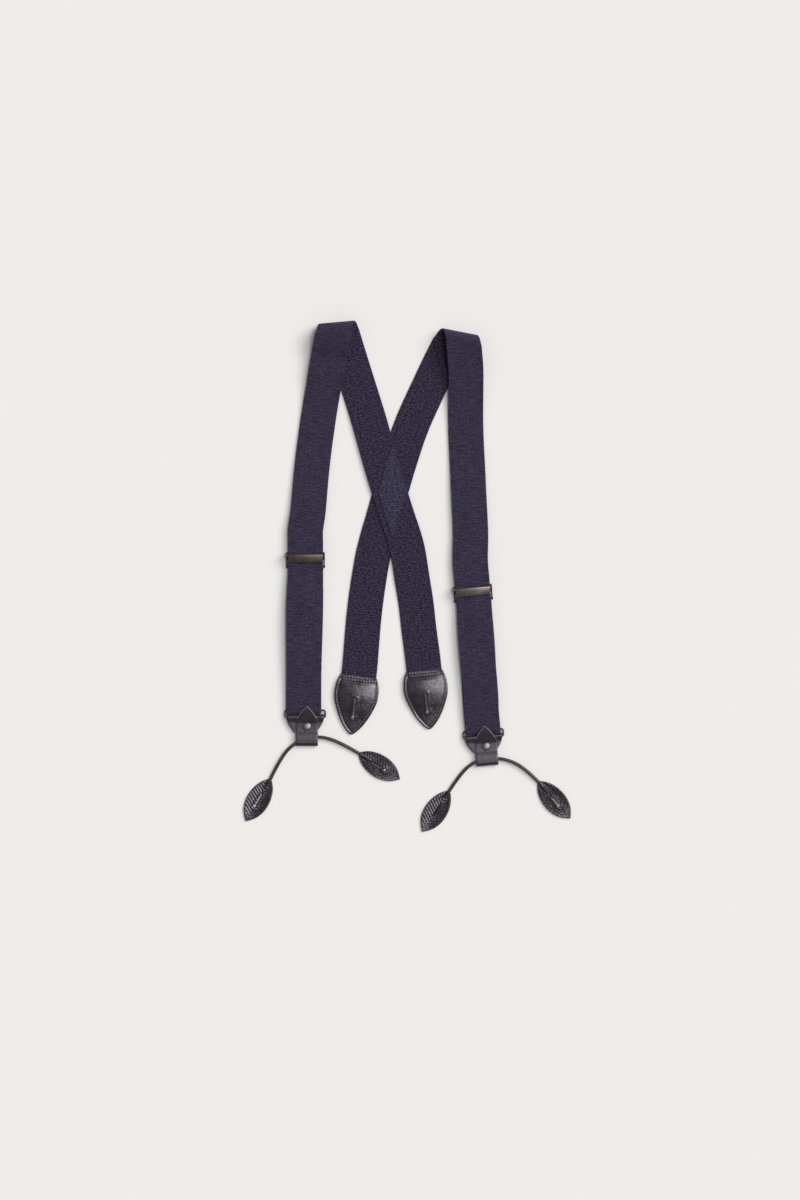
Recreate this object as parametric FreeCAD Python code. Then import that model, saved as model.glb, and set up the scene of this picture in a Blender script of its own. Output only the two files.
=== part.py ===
import FreeCAD, Part
import math
import os

# Button-on dress braces with a crossed back, laid flat on a table.
# Millimetres. +Z up, +Y from the leather ends towards the shoulders, +X to the wearer's left.
# The origin is under the middle of the whole object, on the table.

V = FreeCAD.Vector
UP = V(0, 0, 1)

# ---------------------------------------------------------------- driving dimensions
WEB_WIDTH = 35.0
WEB_THICK = 1.6
LEATHER = 1.2
LEAF_THICK = 2.0
CORD_DIAMETER = 3.3
GAP = 0.3

BEND_RADIUS = 9.0
RING_WIRE_R = 0.95
RING_Z = 3.0
RING_HALF_WIDTH = 20.9
RING_BAR_SPACING = 7.2
RING_CORNER_R = 1.9

BUTTONHOLE_EYE_R = 1.75
BUTTONHOLE_SLIT = 0.8
RIVET_CAP_R = 4.4
RIVET_Y = -16.2
RIVET_POST_R = 1.5

ADJUSTER_LEVEL = 6.35
ADJUSTER_PIVOT = (2.8, 9.0)
ADJUSTER_REAR_BAR = (-8.4, 2.65)
EAR_INNER = 17.9
EAR_OUTER = 19.2
PIVOT_PIN_R = 0.75
REAR_BAR_R = 0.9

# Local frames in plan: (x, y, turn about +Z in degrees).
RING_FRAME = {"left": (-101.0, -134.2, 0.0), "right": (76.5, -154.1, 5.0)}
ADJUSTER_FRAME = {"left": (-101.0, 17.8, 0.0), "right": (66.1, -15.3, 5.0)}
TAB_FRAME = {"left": (-47.8, -99.8, -7.7), "right": (17.4, -94.3, 5.2)}
CROSSING_FRAME = (-14.6, 84.5, 0.0)

# Middle of each shoulder's fold, and the direction of the fold line in degrees.
FOLD = {"left": (-68.4, 243.5, 5.0), "right": (52.1, 233.9, -11.0)}
# How far along the fold line each strap's centre lies, where it leaves the fold.
FOLD_BACK_SHIFT = {"left": 3.3, "right": -7.0}
FOLD_FRONT_SHIFT = {"left": -4.2, "right": 4.6}

WEB_SHIFT_AT_RING = {"left": -1.9, "right": -0.3}
LOOP_TAB_SHIFT = 1.3
YOKE_SHIFT = -0.4

# Middle line of each strap's back run, from the fold to inside its leather end.
BACK_ROUTE = {
    "left": [(-61.2, 231, 0.9), (-46.2, 183, 1.3), (-36.4, 151, 2.6), (-27.5, 119, 2.8),
             (-18.0, 87, 2.8), (-8.0, 55, 2.8), (-0.4, 31, 2.8), (5.2, -1, 2.1),
             (9.0, -25, 1.0), (12.7, -57, 0.95), (15.6, -78, 1.5)],
    "right": [(42.9, 231, 0.95), (27.0, 199, 0.85), (15.8, 175, 0.85), (5.2, 151, 0.85),
              (-3.2, 127, 0.85), (-13.0, 95, 0.85), (-24.2, 55, 0.85), (-33.0, 23, 0.85),
              (-37.4, -1, 0.85), (-40.9, -25, 0.85), (-44.4, -60, 0.95), (-46.2, -84, 1.5)],
}
# Middle line of each strap's front run, from the fold to just above its adjuster.
FRONT_ROUTE = {
    "left": [(-75.6, 230.5, 17.2), (-78.0, 218, 13.6), (-80.2, 205, 9.4), (-82.9, 189, 5.4),
             (-85.9, 172, 3.0), (-89.9, 146, 2.0), (-94.2, 112, 2.8), (-97.4, 76, 4.3),
             (-99.0, 60, 5.2)],
    "right": [(57.6, 222, 17.2), (58.8, 209, 13.6), (59.1, 196, 9.4), (59.0, 180, 5.4),
              (58.9, 163, 3.0), (59.4, 138, 2.0), (60.9, 108, 3.2), (62.6, 71, 4.6),
              (63.9, 36, 4.9)],
}
# Middle line of the front layer between adjuster and ring, which bows up off the layer below.
LOWER_ROUTE = {
    "left": [(-102.2, -18, 7.4), (-102.8, -57, 8.2), (-102.7, -98, 6.6)],
    "right": [(68.2, -49, 7.4), (71.0, -86, 7.9), (74.1, -124, 6.4)],
}
TURN_LEG = 6.0
TAIL_END = -27.0

# Runner cords: points of the route, which the cord rounds off.
CORD_ROUTE = {
    "left": [(-136.4, -203.4, 1.7), (-128.5, -187.0, 2.6), (-116.5, -170.0, 3.2),
             (-100.5, -161.6, 3.2), (-83.0, -160.4, 3.2), (-63.5, -167.8, 2.9),
             (-47.6, -177.4, 1.7)],
    "right": [(42.2, -215.4, 1.7), (51.7, -200.7, 2.6), (65.0, -186.6, 3.2),
              (82.0, -182.2, 3.2), (99.2, -182.7, 3.2), (118.0, -191.7, 2.9),
              (131.8, -206.0, 1.7)],
}
# Direction in plan, in degrees, in which each buttonhole leaf points from its neck.
LEAF_HEADING = {"left_outer": 239.6, "left_inner": -32.3, "right_inner": 236.5, "right_outer": -48.8}
LEAF_LENGTH = 48.0
LEAF_SLIT = (14.0, 30.6)

TAB_LENGTH = 59.0
TAB_WEB_DEPTH = 19.0
TAB_WEB_LEVEL = 2.1
WEB_INTO_TAB = 17.5
TAB_SLIT = (22.8, 41.2)

PATCH_HALF = (14.2, 46.0)
PATCH_THICK = 0.7
CROSSING_TOP = 3.75

STITCH = (2.0, 0.55, 0.3)
STITCH_STEP = 2.9


# Everything is drawn about the strap crossing's axis, then moved so the origin is in the middle.
TO_MIDDLE = V(-0.64, 0.46, 0)


# ---------------------------------------------------------------- small helpers
def save(name, shape):
    shape.translated(TO_MIDDLE).exportStep("parts/" + name + ".step")


def placed(shape, frame, z=0.0):
    """A shape drawn in a local frame, moved to where that frame lies."""
    x, y, turn = frame
    out = shape.copy()
    out.Placement = FreeCAD.Placement(V(x, y, z), FreeCAD.Rotation(UP, turn))
    return out


def in_world(frame, x, y, z=0.0):
    """A point of a local frame, in the row's frame."""
    turn = math.radians(frame[2])
    c, s = math.cos(turn), math.sin(turn)
    return V(frame[0] + x * c - y * s, frame[1] + x * s + y * c, z)


def polygon(points):
    return Part.makePolygon(points + [points[0]])


def arc(a, b, c):
    return Part.Arc(a, b, c).toShape()


def line(a, b):
    return Part.LineSegment(a, b).toShape()


def side_face(path, x=0.0):
    """A face in the local Y-Z plane. The path holds (y, z) points, and ("arc", middle, end)."""
    here = V(x, *path[0])
    first = here
    edges = []
    for step in path[1:]:
        if step[0] == "arc":
            end = V(x, *step[2])
            edges.append(arc(here, V(x, *step[1]), end))
        else:
            end = V(x, *step)
            edges.append(line(here, end))
        here = end
    edges.append(line(here, first))
    return Part.Face(Part.Wire(edges))


def across(path, low, high):
    """The side profile, drawn out along local X from low to high."""
    return side_face(path, low).extrude(V(high - low, 0, 0))


def rod(y, z, radius, low, high):
    """A round bar along local X."""
    return Part.makeCylinder(radius, high - low, V(low, y, z), V(1, 0, 0))


def block(low, high):
    return Part.makeBox(high[0] - low[0], high[1] - low[1], high[2] - low[2], V(*low))


# ---------------------------------------------------------------- webbing
def section(centre, side, half_width, normal):
    """The webbing's rectangular cross-section at one place."""
    w = side * half_width
    t = normal * (WEB_THICK / 2)
    return polygon([centre - w - t, centre + w - t, centre + w + t, centre - w + t])


def height_at(stations, heights, distance):
    """The height part way between two stations."""
    for a, b, low, high in zip(stations, stations[1:], heights, heights[1:]):
        if distance <= b:
            return low + (high - low) * max(0.0, distance - a) / (b - a)
    return heights[-1]


def heading_sections(points, ends):
    """Cross-sections along a smooth line through the points, square to it in plan."""
    plan = [V(p[0], p[1], 0) for p in points]
    curve = Part.BSplineCurve()
    curve.interpolate(plan)
    first = curve.FirstParameter
    stations = [0.0] + [curve.length(first, curve.parameter(p)) for p in plan[1:]]
    heights = [p[2] for p in points]
    count = max(4, int(stations[-1] / 11))
    out = []
    for i in range(ends[0], count + 1 - ends[1]):
        distance = stations[-1] * i / count
        u = curve.parameterAtDistance(distance)
        tangent = curve.tangent(u)[0]
        side = V(-tangent.y, tangent.x, 0)
        side.normalize()
        if side.x < 0:
            side = side * -1
        centre = curve.value(u) + UP * height_at(stations, heights, distance)
        out.append(section(centre, side, WEB_WIDTH / 2, UP))
    return out


def fold_axis(side):
    """A point on the fold's axis, the direction along it, and outwards from the strap."""
    x, y, turn = FOLD[side]
    turn = math.radians(turn)
    along = V(math.cos(turn), math.sin(turn), 0)
    outward = V(-math.sin(turn), math.cos(turn), 0)
    return V(x, y, WEB_THICK / 2 + BEND_RADIUS), along, outward


def fold_section(side, degrees):
    """The webbing's section in the fold, from -90 where the back run starts to 90 at the front."""
    centre, along, outward = fold_axis(side)
    share = (degrees + 90) / 180
    shift = FOLD_BACK_SHIFT[side] + share * (FOLD_FRONT_SHIFT[side] - FOLD_BACK_SHIFT[side])
    a = math.radians(degrees)
    out = outward * math.cos(a) + UP * math.sin(a)
    slant = math.cos(math.radians(13))
    return section(centre + along * shift + out * BEND_RADIUS, along, WEB_WIDTH / 2 / slant, out)


def fold_centre(side, top):
    centre, along, outward = fold_axis(side)
    shift = FOLD_FRONT_SHIFT[side] if top else FOLD_BACK_SHIFT[side]
    return centre + along * shift + UP * (BEND_RADIUS if top else -BEND_RADIUS)


def loft(sections):
    return Part.makeLoft(sections, True, True)


def framed(frame, x, y, z):
    """A flat section square to a local frame, where a run meets a part of that frame."""
    turn = math.radians(frame[2])
    side = V(math.cos(turn), math.sin(turn), 0)
    return section(in_world(frame, x, y, z), side, WEB_WIDTH / 2, UP)


def shoulder_bend(side):
    return loft([fold_section(side, d) for d in range(-90, 91, 15)])


def flat_start(side, top):
    """The fold's end section, turned so that its corners run the same way as a flat run's."""
    centre, along, outward = fold_axis(side)
    slant = math.cos(math.radians(13))
    return section(fold_centre(side, top), along, WEB_WIDTH / 2 / slant, UP)


def back_run(side):
    """The run that crosses the back, into the leather end of the other side."""
    tab = TAB_FRAME["right" if side == "left" else "left"]
    start = fold_centre(side, False)
    points = [(start.x, start.y, start.z)] + BACK_ROUTE[side]
    for y in (2.5, -WEB_INTO_TAB):
        p = in_world(tab, 0, y, TAB_WEB_LEVEL)
        points.append((p.x, p.y, p.z))
    end = framed(tab, 0, -WEB_INTO_TAB, TAB_WEB_LEVEL)
    return loft([flat_start(side, False)] + heading_sections(points, (1, 1)) + [end])


def adjuster_point(side, y):
    p = in_world(ADJUSTER_FRAME[side], 0, y, ADJUSTER_LEVEL)
    return (p.x, p.y, p.z)


def front_run(side):
    start = fold_centre(side, True)
    points = [(start.x, start.y, start.z)] + FRONT_ROUTE[side]
    points += [adjuster_point(side, 28.0), adjuster_point(side, 16.0)]
    end = framed(ADJUSTER_FRAME[side], 0, 16.0, ADJUSTER_LEVEL)
    return loft([flat_start(side, True)] + heading_sections(points, (1, 1)) + [end])


def turn_end(side, level, y):
    p = in_world(RING_FRAME[side], WEB_SHIFT_AT_RING[side], y, level)
    return (p.x, p.y, p.z)


def lower_run(side):
    """The front layer from above the adjuster down to the ring."""
    top = RING_Z + 1.15 + WEB_THICK / 2
    points = [adjuster_point(side, y) for y in (15.9, 6.0, -4.0, -12.0)]
    points += LOWER_ROUTE[side]
    points += [turn_end(side, top + 0.3, 20.0), turn_end(side, top, TURN_LEG + GAP)]
    start = framed(ADJUSTER_FRAME[side], 0, 15.9, ADJUSTER_LEVEL)
    end = framed(RING_FRAME[side], WEB_SHIFT_AT_RING[side], TURN_LEG + GAP, top)
    return loft([start] + heading_sections(points, (1, 1)) + [end])


def return_run(side):
    """The layer below, back up from the ring to the sewn tail."""
    low = RING_Z - 1.15 - WEB_THICK / 2
    flat = WEB_THICK / 2 + 0.03
    near = in_world(ADJUSTER_FRAME[side], 0, -45.0, flat)
    end = in_world(ADJUSTER_FRAME[side], 0, TAIL_END - GAP, flat)
    points = [turn_end(side, low, TURN_LEG + 0.05), turn_end(side, low, 30.0)]
    points += [(near.x, near.y, near.z), (end.x, end.y, end.z)]
    first = framed(RING_FRAME[side], WEB_SHIFT_AT_RING[side], TURN_LEG + 0.05, low)
    last = framed(ADJUSTER_FRAME[side], 0, TAIL_END - GAP, flat)
    return loft([first] + heading_sections(points, (1, 1)) + [last])


def ring_turn(side):
    """The webbing's turn round the ring's upper bar."""
    low, high = 1.15, 1.15 + WEB_THICK
    path = [
        (TURN_LEG, RING_Z + high), (0, RING_Z + high),
        ("arc", (-high, RING_Z), (0, RING_Z - high)), (TURN_LEG, RING_Z - high),
        (TURN_LEG, RING_Z - low), (0, RING_Z - low),
        ("arc", (-low, RING_Z), (0, RING_Z + low)), (TURN_LEG, RING_Z + low),
    ]
    middle = WEB_SHIFT_AT_RING[side]
    solid = across(path, middle - WEB_WIDTH / 2, middle + WEB_WIDTH / 2)
    return placed(solid, RING_FRAME[side])


def tail_fold(side):
    """The webbing's sewn end, round the adjuster's rear bar."""
    y, z = ADJUSTER_REAR_BAR
    inner = 1.05
    outer = inner + WEB_THICK
    path = [
        (TAIL_END, 0.03), (y, 0.0), ("arc", (y + outer, z), (y, z + outer)),
        (-14.5, 3.35), (TAIL_END, 3.3), (TAIL_END, 1.7), (-14.5, 1.75), (y, z + inner),
        ("arc", (y + inner, z), (y, z - inner)), (TAIL_END, 1.63),
    ]
    solid = across(path, -WEB_WIDTH / 2, WEB_WIDTH / 2)
    return placed(solid, ADJUSTER_FRAME[side])


# ---------------------------------------------------------------- stitching
def stitch(point, degrees):
    """One stitch of thread lying on a surface, its middle over the point."""
    long, wide, high = STITCH
    solid = Part.makeBox(long, wide, high, V(-long / 2, -wide / 2, 0))
    solid.Placement = FreeCAD.Placement(point, FreeCAD.Rotation(UP, degrees))
    return solid


def stitch_row(a, b, step=STITCH_STEP):
    """Stitches in a straight row from a to b."""
    way = b - a
    count = max(1, int(way.Length / step))
    degrees = math.degrees(math.atan2(way.y, way.x))
    return [stitch(a + way * ((i + 0.5) / count), degrees) for i in range(count)]


def tail_stitches(side):
    rows = []
    for y in (-18.5, -24.0):
        rows += stitch_row(V(-15.5, y, 3.34), V(15.5, y, 3.34))
    return placed(Part.makeCompound(rows), ADJUSTER_FRAME[side])


# ---------------------------------------------------------------- crossing
def patch_outline(inset=0.0):
    wide, tall = PATCH_HALF
    wide -= inset
    tall -= inset * 2.6
    return [V(0, tall, 0), V(-wide, 0, 0), V(0, -tall, 0), V(wide, 0, 0)]


def crossing_patch():
    solid = Part.Face(polygon(patch_outline())).extrude(V(0, 0, PATCH_THICK))
    return placed(solid, CROSSING_FRAME, CROSSING_TOP)


def crossing_stitches():
    corners = patch_outline(1.6)
    rows = []
    for a, b in zip(corners, corners[1:] + corners[:1]):
        rows += stitch_row(a, b, 3.2)
    return placed(Part.makeCompound(rows), CROSSING_FRAME, CROSSING_TOP + PATCH_THICK)


# ---------------------------------------------------------------- leather ends of the back
def tab_half_outline(inset=0.0):
    """Edges down one side of a back end, from its top corner to its rounded tip."""
    def p(x, y):
        return V(x - inset, y, 0)
    tip = -TAB_LENGTH + inset
    return [
        arc(p(17.8, 0), p(22.0, -19), p(18.6, -33)),
        arc(p(18.6, -33), p(12.0, -46.5), V(3.6 - inset * 0.4, tip + 2.0, 0)),
        arc(V(3.6 - inset * 0.4, tip + 2.0, 0), V(1.9, tip + 0.5, 0), V(0, tip, 0)),
    ]


def tab_face():
    right = tab_half_outline()
    left = [e.mirror(V(0, 0, 0), V(1, 0, 0)) for e in right]
    top = line(V(17.8, 0, 0), V(-17.8, 0, 0))
    wire = Part.Wire(Part.__sortEdges__(right + left + [top]))
    return Part.Face(wire)


def buttonhole(start, eye, low, high):
    """The cutter of a keyhole slit that runs down local -Y, with its round eye at the end."""
    slit = block((-BUTTONHOLE_SLIT / 2, -eye, low), (BUTTONHOLE_SLIT / 2, -start, high))
    round_eye = Part.makeCylinder(BUTTONHOLE_EYE_R, high - low, V(0, -eye, low))
    return slit.fuse(round_eye)


def back_tab_face(side):
    """The outer ply, which steps down past the end of the webbing between the plies."""
    top = LEATHER * 2 + WEB_THICK + 0.2
    path = [
        (1, top), (-TAB_WEB_DEPTH, top), (-TAB_WEB_DEPTH - 8, 2 * LEATHER + 0.02),
        (-70, 2 * LEATHER + 0.02), (-70, LEATHER + 0.02),
        (-TAB_WEB_DEPTH - 8, LEATHER + 0.02), (-TAB_WEB_DEPTH, top - LEATHER), (1, top - LEATHER),
    ]
    solid = across(path, -30, 30).common(tab_face().extrude(V(0, 0, 10)))
    solid = solid.cut(buttonhole(*TAB_SLIT, -1, 8))
    return placed(solid, TAB_FRAME[side])


def back_tab_lining(side):
    solid = tab_face().extrude(V(0, 0, LEATHER)).cut(buttonhole(*TAB_SLIT, -1, 8))
    return placed(solid, TAB_FRAME[side])


def tab_surface(y):
    """The height of the outer ply's top at a place down the end."""
    top = LEATHER * 2 + WEB_THICK + 0.2
    low = 2 * LEATHER + 0.02
    share = min(1.0, max(0.0, (-y - TAB_WEB_DEPTH) / 8))
    return top + share * (low - top) + 0.03


def back_tab_stitches(side):
    """A row down each edge, and two rows across the top that hold the webbing."""
    inset = 2.4
    rows = []
    for edge in tab_half_outline(inset)[:2]:
        count = int(edge.Length / STITCH_STEP)
        for i in range(count):
            u = edge.FirstParameter + (edge.LastParameter - edge.FirstParameter) * (i + 0.5) / count
            p = edge.valueAt(u)
            way = edge.tangentAt(u)
            degrees = math.degrees(math.atan2(way.y, way.x))
            if p.y < -5:
                z = max(tab_surface(p.y + 1.2), tab_surface(p.y - 1.2))
                rows.append(stitch(V(p.x, p.y, z), degrees))
                rows.append(stitch(V(-p.x, p.y, z), -degrees))
    for y in (-2.2, -5.0):
        rows += stitch_row(V(-15.4, y, tab_surface(y)), V(15.4, y, tab_surface(y)))
    return placed(Part.makeCompound(rows), TAB_FRAME[side])


# ---------------------------------------------------------------- ring, yoke and loop tab
def ring(side):
    """The wire loop, its upper bar on local Y = 0."""
    w, h, r = RING_HALF_WIDTH, RING_BAR_SPACING, RING_CORNER_R
    k = r * (1 - math.sqrt(0.5))
    corners = [(w, 0, -1, -1), (w, -h, -1, 1), (-w, -h, 1, 1), (-w, 0, 1, -1)]
    edges = []
    ends = []
    for x, y, sx, sy in corners:
        a = V(x + sx * r, y, 0)
        b = V(x, y + sy * r, 0)
        middle = V(x + sx * k, y + sy * k, 0)
        first, last = (a, b) if sx * sy > 0 else (b, a)
        edges.append(arc(first, middle, last))
        ends.append((first, last))
    for i, (first, last) in enumerate(ends):
        edges.append(line(last, ends[(i + 1) % 4][0]))
    path = Part.Wire(Part.__sortEdges__(edges))
    start = path.OrderedEdges[0]
    p = start.valueAt(start.FirstParameter)
    way = start.tangentAt(start.FirstParameter)
    profile = Part.Wire(Part.makeCircle(RING_WIRE_R, p, way))
    return placed(path.makePipeShell([profile], True, True), RING_FRAME[side], RING_Z)


def yoke_outline():
    """The yoke seen from above: a wide top that curves in to the loop tab."""
    wide, narrow = 18.75, 10.6
    edges = [
        line(V(-wide, 0, 0), V(wide, 0, 0)),
        line(V(wide, 0, 0), V(wide, -8.0, 0)),
        arc(V(wide, -8.0, 0), V(16.4, -15.0, 0), V(narrow, -22.5, 0)),
        line(V(narrow, -22.5, 0), V(-narrow, -22.5, 0)),
        arc(V(-narrow, -22.5, 0), V(-16.4, -15.0, 0), V(-wide, -8.0, 0)),
        line(V(-wide, -8.0, 0), V(-wide, 0, 0)),
    ]
    return Part.Face(Part.Wire(edges))


def rivet_hole():
    return Part.makeCylinder(RIVET_POST_R, 20, V(LOOP_TAB_SHIFT, RIVET_Y, -5))


def yoke(side):
    """Leather folded over the ring's lower bar and closed below it."""
    bar = -RING_BAR_SPACING
    inner, outer = 1.1, 1.1 + LEATHER
    top, bottom = RING_Z + LEATHER, RING_Z - LEATHER
    body = across([
        (-22.5, top), (-11.6, top), (bar, RING_Z + outer),
        ("arc", (bar + outer, RING_Z), (bar, RING_Z - outer)),
        (-11.6, bottom), (-22.5, bottom),
    ], -20, 20)
    hollow = across([
        (-11.6, RING_Z), (bar, RING_Z + inner),
        ("arc", (bar + inner, RING_Z), (bar, RING_Z - inner)),
    ], -21, 21)
    outline = yoke_outline().extrude(V(0, 0, 12))
    outline.translate(V(YOKE_SHIFT, 0, -2))
    return placed(body.cut(hollow).common(outline).cut(rivet_hole()), RING_FRAME[side])


def loop_tab(side):
    """The strip riveted over the yoke, which turns back below as the runner's loop."""
    t = LEATHER
    axis_y, axis_z = -32.65, 3.15
    outer = 3.15
    inner = outer - t
    strip = across([
        (5.0, 6.1), (-3.0, 6.1), (-7.4, 5.45), (-11.7, 4.25), (-20.8, 4.25), (-24.5, 5.1),
        (axis_y, 5.1), ("arc", (axis_y - inner, axis_z), (axis_y, axis_z - inner)),
        (-24.0, t), (-20.8, 1.75), (-11.7, 1.75), (-11.7, 1.75 - t), (-20.8, 1.75 - t),
        (-24.0, 0.0), (axis_y, 0.0), ("arc", (axis_y - outer, axis_z), (axis_y, 6.3)),
        (-24.5, 6.3), (-20.8, 4.25 + t), (-11.7, 4.25 + t), (-7.4, 5.45 + t), (-3.0, 6.1 + t),
        (5.0, 6.1 + t),
    ], -15, 15)
    outline = Part.Face(polygon([
        V(0, 4.2, 0), V(-6.4, -2.2, 0), V(-11.1, -9.4, 0), V(-10.9, -37, 0),
        V(10.9, -37, 0), V(11.1, -9.4, 0), V(6.4, -2.2, 0),
    ])).extrude(V(0, 0, 12))
    outline.translate(V(0, 0, -2))
    solid = strip.common(outline)
    solid.translate(V(LOOP_TAB_SHIFT, 0, 0))
    return placed(solid.cut(rivet_hole()), RING_FRAME[side])


def rivet_cap(side):
    """The domed cap on the outside."""
    z, high = 4.25 + LEATHER, 1.3
    radius = (RIVET_CAP_R ** 2 + high ** 2) / (2 * high)
    ball = Part.makeSphere(radius, V(LOOP_TAB_SHIFT, RIVET_Y, z + high - radius))
    rim = Part.makeCylinder(RIVET_CAP_R, high, V(LOOP_TAB_SHIFT, RIVET_Y, z))
    return placed(ball.common(rim), RING_FRAME[side])


def rivet_post(side):
    """The post with its flat head on the back."""
    centre = V(LOOP_TAB_SHIFT, RIVET_Y, 0.0)
    head = Part.makeCylinder(RIVET_CAP_R, 0.5, centre)
    post = Part.makeCylinder(RIVET_POST_R, 4.25 + LEATHER, centre)
    return placed(head.fuse(post), RING_FRAME[side])


# ---------------------------------------------------------------- adjuster
def adjuster_side(low, high):
    """One upright side of the adjuster's frame, from the rear bar to the ear."""
    plate = across([
        (-9.9, 1.2), (-6.9, 1.2), (-5.0, 4.15), (6.0, 4.15), (6.0, 5.6), (4.9, 9.4),
        (3.9, 10.3), (1.7, 10.3), (0.5, 9.4), (-1.4, 5.6), (-6.6, 5.15), (-9.9, 4.2),
    ], low, high)
    plate = plate.cut(rod(*ADJUSTER_PIVOT, PIVOT_PIN_R, low - 1, high + 1))
    return plate.cut(rod(*ADJUSTER_REAR_BAR, REAR_BAR_R, low - 1, high + 1))


def adjuster_frame(side):
    """A stamped channel under the front layer, with an ear up each side."""
    base = block((-EAR_INNER, -1.8, 4.15), (EAR_INNER, 6.0, 5.15))
    solid = base.fuse([adjuster_side(-EAR_OUTER, -EAR_INNER), adjuster_side(EAR_INNER, EAR_OUTER)])
    return placed(solid.removeSplitter(), ADJUSTER_FRAME[side])


def adjuster_pivot_pin(side):
    return placed(rod(*ADJUSTER_PIVOT, PIVOT_PIN_R, -EAR_OUTER - 0.3, EAR_OUTER + 0.3),
                  ADJUSTER_FRAME[side])


def adjuster_rear_bar(side):
    return placed(rod(*ADJUSTER_REAR_BAR, REAR_BAR_R, -EAR_OUTER - 0.3, EAR_OUTER + 0.3),
                  ADJUSTER_FRAME[side])


def adjuster_lever(side):
    """The front plate, rolled round the pivot pin, with teeth under its free edge."""
    y, z = ADJUSTER_PIVOT
    half = 17.35
    plate = across([
        (y, z + 1.6), (-3.3, z + 1.3), (-4.4, z + 0.6), (-4.4, z - 0.7), (-3.2, z - 0.9),
        (-2.2, z - 0.1), (y, z),
    ], -half, half)
    plate = plate.fuse(rod(y, z, 1.6, -half, half))
    teeth = []
    for i in range(11):
        x = -15 + 3 * i
        tooth = across([(-4.2, z - 0.6), (-2.6, z - 0.6), (-3.5, z - 1.5)], x - 0.6, x + 0.6)
        teeth.append(tooth)
    solid = plate.fuse(teeth).cut(rod(y, z, PIVOT_PIN_R + 0.07, -half - 1, half + 1))
    return placed(solid, ADJUSTER_FRAME[side])


# ---------------------------------------------------------------- runner
def tube_path(points):
    """Straight runs joined by tangent arcs, each as large as its two runs allow."""
    points = [V(*p) for p in points]
    edges = []
    radii = []
    here = points[0]
    for a, corner, b in zip(points, points[1:], points[2:]):
        back = (a - corner)
        on = (b - corner)
        half_turn = (math.pi - back.getAngle(on)) / 2
        cut = 0.45 * min(back.Length, on.Length)
        radius = cut / math.tan(half_turn)
        radii.append(radius)
        back.normalize()
        on.normalize()
        start = corner + back * cut
        end = corner + on * cut
        toward = back + on
        toward.normalize()
        middle = corner + toward * (radius / math.cos(half_turn) - radius)
        edges.append(line(here, start))
        edges.append(arc(start, middle, end))
        here = end
    edges.append(line(here, points[-1]))
    return Part.Wire(edges), radii


def runner_cord(side):
    path, radii = tube_path(CORD_ROUTE[side])
    first = path.Edges[0]
    way = first.tangentAt(first.FirstParameter)
    start = first.valueAt(first.FirstParameter)
    profile = Part.Wire(Part.makeCircle(CORD_DIAMETER / 2, start, way))
    tube = path.makePipeShell([profile], True, False)
    expected = math.pi * (CORD_DIAMETER / 2) ** 2 * path.Length
    print(side, "cord length", round(path.Length, 1), "volume ratio", round(tube.Volume / expected, 4),
          "radii", [round(r, 1) for r in radii])
    return tube


def leaf_outline():
    """Half of a buttonhole leaf, from its neck to its point along local -Y."""
    side = [(1.7, 0), (6.2, -3.6), (10.3, -13), (11.4, -22), (10.6, -31.5), (7.0, -40.4), (0.35, -LEAF_LENGTH)]
    curve = Part.BSplineCurve()
    curve.interpolate([V(x, y, 0) for x, y in side])
    right = curve.toShape()
    left = right.mirror(V(0, 0, 0), V(1, 0, 0))
    neck = line(V(1.7, 0, 0), V(-1.7, 0, 0))
    point = line(V(0.35, -LEAF_LENGTH, 0), V(-0.35, -LEAF_LENGTH, 0))
    return Part.Face(Part.Wire(Part.__sortEdges__([right, point, left, neck])))


def leaf(neck, heading):
    """A flat leaf of leather, with the rolled cord opening out over its neck."""
    plate = leaf_outline().extrude(V(0, 0, LEAF_THICK))
    radius = CORD_DIAMETER / 2
    ridge = Part.makeCone(radius, 0.5, 13, V(0, 0, 1.7), V(0, -1, -0.03))
    ridge = ridge.common(block((-5, -20, 0.05), (5, 0, 5)))
    solid = plate.fuse(ridge).cut(buttonhole(*LEAF_SLIT, -1, 8))
    x, y, z = neck
    turn = heading + 90
    a = math.radians(heading)
    return placed(solid, (x + 0.12 * math.cos(a), y + 0.12 * math.sin(a), turn), 0.0)


# ---------------------------------------------------------------- the whole object
def build():
    os.makedirs("parts", exist_ok=True)
    save("crossing_patch", crossing_patch())
    save("crossing_stitching", crossing_stitches())
    makers = {
        "strap_back_run": back_run,
        "strap_shoulder_bend": shoulder_bend,
        "strap_front_run": front_run,
        "strap_lower_run": lower_run,
        "strap_ring_turn": ring_turn,
        "strap_return_run": return_run,
        "strap_tail_fold": tail_fold,
        "tail_stitching": tail_stitches,
        "adjuster_frame": adjuster_frame,
        "adjuster_pivot_pin": adjuster_pivot_pin,
        "adjuster_rear_bar": adjuster_rear_bar,
        "adjuster_lever": adjuster_lever,
        "ring": ring,
        "yoke": yoke,
        "loop_tab": loop_tab,
        "rivet_cap": rivet_cap,
        "rivet_post": rivet_post,
        "runner_cord": runner_cord,
        "back_tab_face": back_tab_face,
        "back_tab_lining": back_tab_lining,
        "back_tab_stitching": back_tab_stitches,
    }
    for side in ("left", "right"):
        for name, maker in makers.items():
            save(side + "_" + name, maker(side))
        ends = {"left": (CORD_ROUTE[side][0], CORD_ROUTE[side][-1])}
        first, last = ends["left"]
        outer, inner = (first, last) if side == "left" else (last, first)
        save(side + "_leaf_outer", leaf(outer, LEAF_HEADING[side + "_outer"]))
        save(side + "_leaf_inner", leaf(inner, LEAF_HEADING[side + "_inner"]))


build()
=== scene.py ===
import math

import bmesh
import bpy
import numpy as np
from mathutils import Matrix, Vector, noise

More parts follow.
